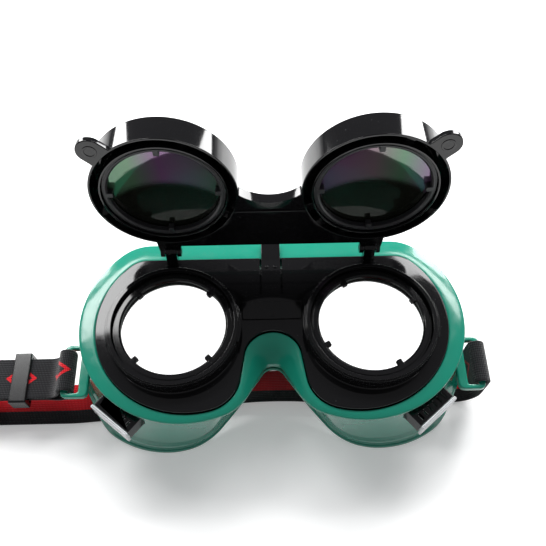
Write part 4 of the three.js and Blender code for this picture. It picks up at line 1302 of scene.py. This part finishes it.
def webbing(settings):
    """Woven elastic. Ribs are a sine along the strap and rubber cords a sine across it. The inside is
    the inner yarn with an edge of the outer yarn; on the outside, woven diamonds of the inner yarn
    repeat where the distance from their middle, along plus across, lies in a band."""
    material, nodes, links = bare_material("Woven elastic")
    along = nodes.new("ShaderNodeAttribute")
    along.label = "Distance along the strap"
    along.attribute_name = "along"
    across = nodes.new("ShaderNodeAttribute")
    across.label = "Distance across the strap"
    across.attribute_name = "across"
    outside = nodes.new("ShaderNodeAttribute")
    outside.label = "Outside or inside"
    outside.attribute_name = "outside"
    turns = nodes.new("ShaderNodeMath")
    turns.label = "Ribs along"
    turns.operation = "MULTIPLY"
    turns.inputs[1].default_value = 2 * math.pi / settings.weave_pitch
    ribs = nodes.new("ShaderNodeMath")
    ribs.label = "Rib wave"
    ribs.operation = "SINE"
    cords = nodes.new("ShaderNodeMath")
    cords.label = "Cords across"
    cords.operation = "MULTIPLY"
    cords.inputs[1].default_value = 2 * math.pi / (1.6 * settings.weave_pitch)
    ridges = nodes.new("ShaderNodeMath")
    ridges.label = "Cord wave"
    ridges.operation = "SINE"
    weave = nodes.new("ShaderNodeMath")
    weave.label = "Ribs over cords"
    weave.operation = "MULTIPLY_ADD"
    weave.inputs[1].default_value = 0.7
    bump = nodes.new("ShaderNodeBump")
    bump.label = "Weave relief"
    bump.inputs["Strength"].default_value = 0.8
    bump.inputs["Distance"].default_value = 0.00012
    repeat = nodes.new("ShaderNodeMath")
    repeat.label = "Place within one repeat"
    repeat.operation = "PINGPONG"
    repeat.inputs[1].default_value = 0.012
    sideways = nodes.new("ShaderNodeMath")
    sideways.label = "Distance from the middle"
    sideways.operation = "ABSOLUTE"
    diamond = nodes.new("ShaderNodeMath")
    diamond.label = "Diamond distance"
    diamond.operation = "MULTIPLY_ADD"
    diamond.inputs[1].default_value = 1.25
    inside_edge = nodes.new("ShaderNodeMath")
    inside_edge.label = "Band of the diamond"
    inside_edge.operation = "COMPARE"
    inside_edge.inputs[1].default_value = 0.0062
    inside_edge.inputs[2].default_value = 0.0011
    border = nodes.new("ShaderNodeMath")
    border.label = "Inner face without its border"
    border.operation = "GREATER_THAN"
    border.inputs[1].default_value = -0.0036
    is_inside = nodes.new("ShaderNodeMath")
    is_inside.label = "Inner face"
    is_inside.operation = "LESS_THAN"
    is_inside.inputs[1].default_value = 0
    accent = nodes.new("ShaderNodeMix")
    accent.label = "Inner yarn shows"
    accent.data_type = "FLOAT"
    yarn = nodes.new("ShaderNodeMixRGB")
    yarn.label = "Outer or inner yarn"
    yarn.inputs["Color1"].default_value = (*settings.outer_yarn, 1)
    yarn.inputs["Color2"].default_value = (*settings.inner_yarn, 1)
    # The yarn's colour is scaled by the weave's height: painted shade between the ribs and painted light on
    # their tops.
    shade = nodes.new("ShaderNodeMapRange")
    shade.label = "Painted shade in hollows, light on ridges"
    shade.inputs["From Min"].default_value = -1.7
    shade.inputs["From Max"].default_value = 1.7
    shade.inputs["To Min"].default_value = 0.72
    shade.inputs["To Max"].default_value = 1.1
    shaded = nodes.new("ShaderNodeVectorMath")
    shaded.label = "Shaded yarn"
    shaded.operation = "SCALE"
    place = nodes.new("ShaderNodeTexCoord")
    place.label = "Place on the strap"
    fuzz = nodes.new("ShaderNodeTexNoise")
    fuzz.label = "Loose fibres"
    fuzz.inputs["Scale"].default_value = 3500
    fluff = nodes.new("ShaderNodeMapRange")
    fluff.label = "Roughness of the fibres"
    fluff.inputs["To Min"].default_value = 0.7
    fluff.inputs["To Max"].default_value = 0.95
    skin = nodes.new("ShaderNodeBsdfPrincipled")
    skin.label = "Elastic yarn"
    skin.inputs["Sheen Weight"].default_value = 0.25
    skin.inputs["Sheen Roughness"].default_value = 0.4
    skin.inputs["Specular IOR Level"].default_value = 0.3
    output = nodes.new("ShaderNodeOutputMaterial")
    output.label = "Strap surface"
    links.new(along.outputs["Fac"], turns.inputs[0])
    links.new(turns.outputs["Value"], ribs.inputs[0])
    links.new(across.outputs["Fac"], cords.inputs[0])
    links.new(cords.outputs["Value"], ridges.inputs[0])
    links.new(ridges.outputs["Value"], weave.inputs[0])
    links.new(ribs.outputs["Value"], weave.inputs[2])
    links.new(weave.outputs["Value"], bump.inputs["Height"])
    links.new(along.outputs["Fac"], repeat.inputs[0])
    links.new(across.outputs["Fac"], sideways.inputs[0])
    links.new(sideways.outputs["Value"], diamond.inputs[0])
    links.new(repeat.outputs["Value"], diamond.inputs[2])
    links.new(diamond.outputs["Value"], inside_edge.inputs[0])
    links.new(across.outputs["Fac"], border.inputs[0])
    links.new(outside.outputs["Fac"], is_inside.inputs[0])
    links.new(is_inside.outputs["Value"], accent.inputs["Factor"])
    links.new(inside_edge.outputs["Value"], accent.inputs["A"])
    links.new(border.outputs["Value"], accent.inputs["B"])
    links.new(accent.outputs["Result"], yarn.inputs["Fac"])
    links.new(weave.outputs["Value"], shade.inputs["Value"])
    links.new(yarn.outputs["Color"], shaded.inputs[0])
    links.new(shade.outputs["Result"], shaded.inputs["Scale"])
    links.new(place.outputs["Object"], fuzz.inputs["Vector"])
    links.new(fuzz.outputs["Fac"], fluff.inputs["Value"])
    links.new(shaded.outputs["Vector"], skin.inputs["Base Color"])
    links.new(fluff.outputs["Result"], skin.inputs["Roughness"])
    links.new(bump.outputs["Normal"], skin.inputs["Normal"])
    links.new(skin.outputs["BSDF"], output.inputs["Surface"])
    groups = {"Place": (along, across, outside), "Weave": (turns, ribs, cords, ridges, weave, bump),
              "Diamonds": (repeat, sideways, diamond, inside_edge),
              "Yarn": (is_inside, border, accent, yarn, shade, shaded), "Fibres": (place, fuzz, fluff)}
    framed(nodes, groups, 220, 300)
    skin.location, output.location = (1500, -400), (1800, -400)
    return material


def floor_sheet():
    """Matt white sheet with a faint paper mottle."""
    material, nodes, links = bare_material("White floor")
    place = nodes.new("ShaderNodeTexCoord")
    place.label = "Place on the floor"
    mottle = nodes.new("ShaderNodeTexNoise")
    mottle.label = "Paper mottle"
    mottle.inputs["Scale"].default_value = 60
    tint = nodes.new("ShaderNodeMixRGB")
    tint.label = "Two whites"
    tint.inputs["Color1"].default_value = (0.86, 0.86, 0.86, 1)
    tint.inputs["Color2"].default_value = (0.90, 0.90, 0.90, 1)
    skin = nodes.new("ShaderNodeBsdfPrincipled")
    skin.label = "Matt sheet"
    skin.inputs["Emission Color"].default_value = (1, 1, 1, 1)
    skin.inputs["Emission Strength"].default_value = 0.26
    skin.inputs["Roughness"].default_value = 0.8
    skin.inputs["Specular IOR Level"].default_value = 0.2
    output = nodes.new("ShaderNodeOutputMaterial")
    output.label = "Floor surface"
    links.new(place.outputs["Object"], mottle.inputs["Vector"])
    links.new(mottle.outputs["Fac"], tint.inputs["Fac"])
    links.new(tint.outputs["Color"], skin.inputs["Base Color"])
    links.new(skin.outputs["BSDF"], output.inputs["Surface"])
    sheet_frame = nodes.new("NodeFrame")
    sheet_frame.label = "Sheet"
    for column, node in enumerate((place, mottle, tint)):
        node.parent = sheet_frame
        node.location = (220 * column, 0)
    skin.location, output.location = (700, 0), (1000, 0)
    return material


def painted_light_sheet():
    """Glowing white sheet that paints light; it is no lamp."""
    material, nodes, links = bare_material("Painted light sheet")
    glow = nodes.new("ShaderNodeEmission")
    glow.label = "Painted light glow"
    glow.inputs["Strength"].default_value = 1.5
    output = nodes.new("ShaderNodeOutputMaterial")
    output.label = "Sheet surface"
    output.location = (240, 0)
    links.new(glow.outputs["Emission"], output.inputs["Surface"])
    return material


# ---- Stage ----------------------------------------------------------------------------------
# Soft boxes: place, size, lean about X in degrees, brightness, and whether they show in reflections.
# The low ones stand behind and light the cups' walls; the hidden ones only light.
SOFT_BOXES = {
    "left soft box": ((-0.592, 0.635, 1.0), (0.62, 0.33), 0, 11, True),
    "right soft box": ((0.60, 0.70, 1.0), (0.62, 0.20), 0, 11, True),
    "low left soft box": ((-0.385, 0.40, 0.28), (0.145, 0.26), -90, 14, True),
    "low right soft box": ((0.335, 0.40, 0.28), (0.165, 0.30), -90, 14, True),
    "key": ((0.0, 0.62, 0.60), (0.9, 0.4), -45, 11, False),
    "fill": ((0.0, -0.1, 1.3), (2.0, 1.6), 0, 0.22, False),
}
# Place, radii and height in metres of the painted light patches below the lenses.
PATCH_X, PATCH_Y, PATCH_RX, PATCH_RY, PATCH_Z = 0.051, 0.024, 0.030, 0.029, 0.0002
PATCH_POINTS = 64
FLOOR_REACH = 3.0
ROOM_GREY = (0.15, 0.15, 0.157, 1)
CAMERA_DISTANCE, CAMERA_HEIGHT = 0.2797, 0.048
CAMERA_ELEVATION, CAMERA_AZIMUTH, CAMERA_ROLL = 63.23, -1.09, -0.26


def soft_light(name, place, size, lean, brightness, shown):
    """A rectangular light. Its power is its brightness times pi times its area."""
    data = bpy.data.lights.new(name, "AREA")
    data.shape = "RECTANGLE"
    data.size, data.size_y = size
    data.energy = brightness * math.pi * size[0] * size[1]
    light = bpy.data.objects.new(name, data)
    light.location = place
    light.rotation_euler = (math.radians(lean), 0, 0)
    bpy.context.scene.collection.objects.link(light)
    light.visible_camera = False
    light.visible_glossy = light.visible_transmission = shown


def painted_light_patch(side):
    """A round glowing sheet on the floor below a lens, that only a direct view sees: painted light where the
    mask's shade falls.
    """
    angle = np.linspace(0, 2 * math.pi, PATCH_POINTS, endpoint=False)
    points = np.stack([side * PATCH_X + PATCH_RX * np.cos(angle), PATCH_Y + PATCH_RY * np.sin(angle),
                       np.full(PATCH_POINTS, PATCH_Z)], axis=-1)
    mesh = bpy.data.meshes.new("painted light patch")
    mesh.from_pydata(points.tolist(), [], [list(range(PATCH_POINTS))])
    mesh.materials.append(painted_light_sheet())
    patch = linked("painted_light_patch_left" if side < 0 else "painted_light_patch_right", mesh)
    patch.visible_diffuse = patch.visible_glossy = False
    patch.visible_transmission = patch.visible_shadow = False


class GOGGLES_OT_stage(bpy.types.Operator):
    """Build the floor, the soft light, the painted light patches below the lenses and the camera"""

    bl_idname = "goggles.stage"
    bl_label = "Stage"

    def execute(self, context):
        scene = context.scene
        scene.view_settings.view_transform = "Standard"
        reach = FLOOR_REACH
        corners = [(-reach, -reach, 0), (reach, -reach, 0), (reach, reach, 0), (-reach, reach, 0)]
        mesh = bpy.data.meshes.new("floor")
        mesh.from_pydata(corners, [], [(0, 1, 2, 3)])
        mesh.materials.append(floor_sheet())
        linked("floor", mesh)

        for name, (place, size, lean, brightness, shown) in SOFT_BOXES.items():
            soft_light(name, place, size, lean, brightness, shown)
        # Glowing patches on the floor under the lenses: painted light in the mask's shade.
        for side in SIDES.values():
            painted_light_patch(side)

        world = bpy.data.worlds.new("Dim studio")
        world.use_nodes = True
        background = world.node_tree.nodes["Background"]
        background.label = "Dim grey room"
        background.inputs["Color"].default_value = ROOM_GREY
        background.inputs["Strength"].default_value = 1
        scene.world = world

        azimuth, elevation = math.radians(CAMERA_AZIMUTH), math.radians(CAMERA_ELEVATION)
        roll = math.radians(CAMERA_ROLL)
        back = np.array([math.sin(azimuth) * math.cos(elevation), -math.cos(azimuth) * math.cos(elevation),
                         math.sin(elevation)])
        right = np.array([math.cos(azimuth), math.sin(azimuth), 0])
        up = np.cross(back, right)
        across = math.cos(roll) * right + math.sin(roll) * up
        upward = math.cos(roll) * up - math.sin(roll) * right
        data = bpy.data.cameras.new("camera")
        data.sensor_width, data.lens = 36, 42.18
        data.shift_x, data.shift_y = 0.0012, 0.0957
        data.clip_start = 0.01
        camera = bpy.data.objects.new("camera", data)
        turn = Matrix(np.column_stack([across, upward, back]).tolist()).to_4x4()
        place = Vector(back * CAMERA_DISTANCE + [0, 0, CAMERA_HEIGHT])
        camera.matrix_world = Matrix.Translation(place) @ turn
        scene.collection.objects.link(camera)
        scene.camera = camera
        return {"FINISHED"}


# ---- Panel and run --------------------------------------------------------------------------
class GOGGLES_PT_panel(bpy.types.Panel):
    """Lists the pieces of the goggles and their settings"""

    bl_label = "Welding goggles"
    bl_idname = "GOGGLES_PT_panel"
    bl_space_type = "VIEW_3D"
    bl_region_type = "UI"
    bl_category = "Goggles"

    def draw(self, context):
        layout = self.layout
        for name in GogglesSettings.__annotations__:
            layout.prop(context.scene.goggles, name)
        for operator in OPERATORS:
            layout.operator(operator.bl_idname)


OPERATORS = (GOGGLES_OT_stage, GOGGLES_OT_mask, GOGGLES_OT_plate, GOGGLES_OT_lenses, GOGGLES_OT_flip,
             GOGGLES_OT_filters, GOGGLES_OT_pins, GOGGLES_OT_vents, GOGGLES_OT_strap, GOGGLES_OT_slider)
CLASSES = (GogglesSettings, *OPERATORS, GOGGLES_PT_panel)


def register():
    for cls in CLASSES:
        bpy.utils.register_class(cls)
    bpy.types.Scene.goggles = bpy.props.PointerProperty(type=GogglesSettings)


def unregister():
    del bpy.types.Scene.goggles
    for cls in reversed(CLASSES):
        bpy.utils.unregister_class(cls)


def main():
    register()
    bpy.ops.goggles.stage()
    bpy.ops.goggles.mask()
    bpy.ops.goggles.plate()
    bpy.ops.goggles.lenses()
    bpy.ops.goggles.flip()
    bpy.ops.goggles.filters()
    bpy.ops.goggles.pins()
    bpy.ops.goggles.vents()
    bpy.ops.goggles.strap()
    bpy.ops.goggles.slider()


if __name__ == "__main__":
    main()
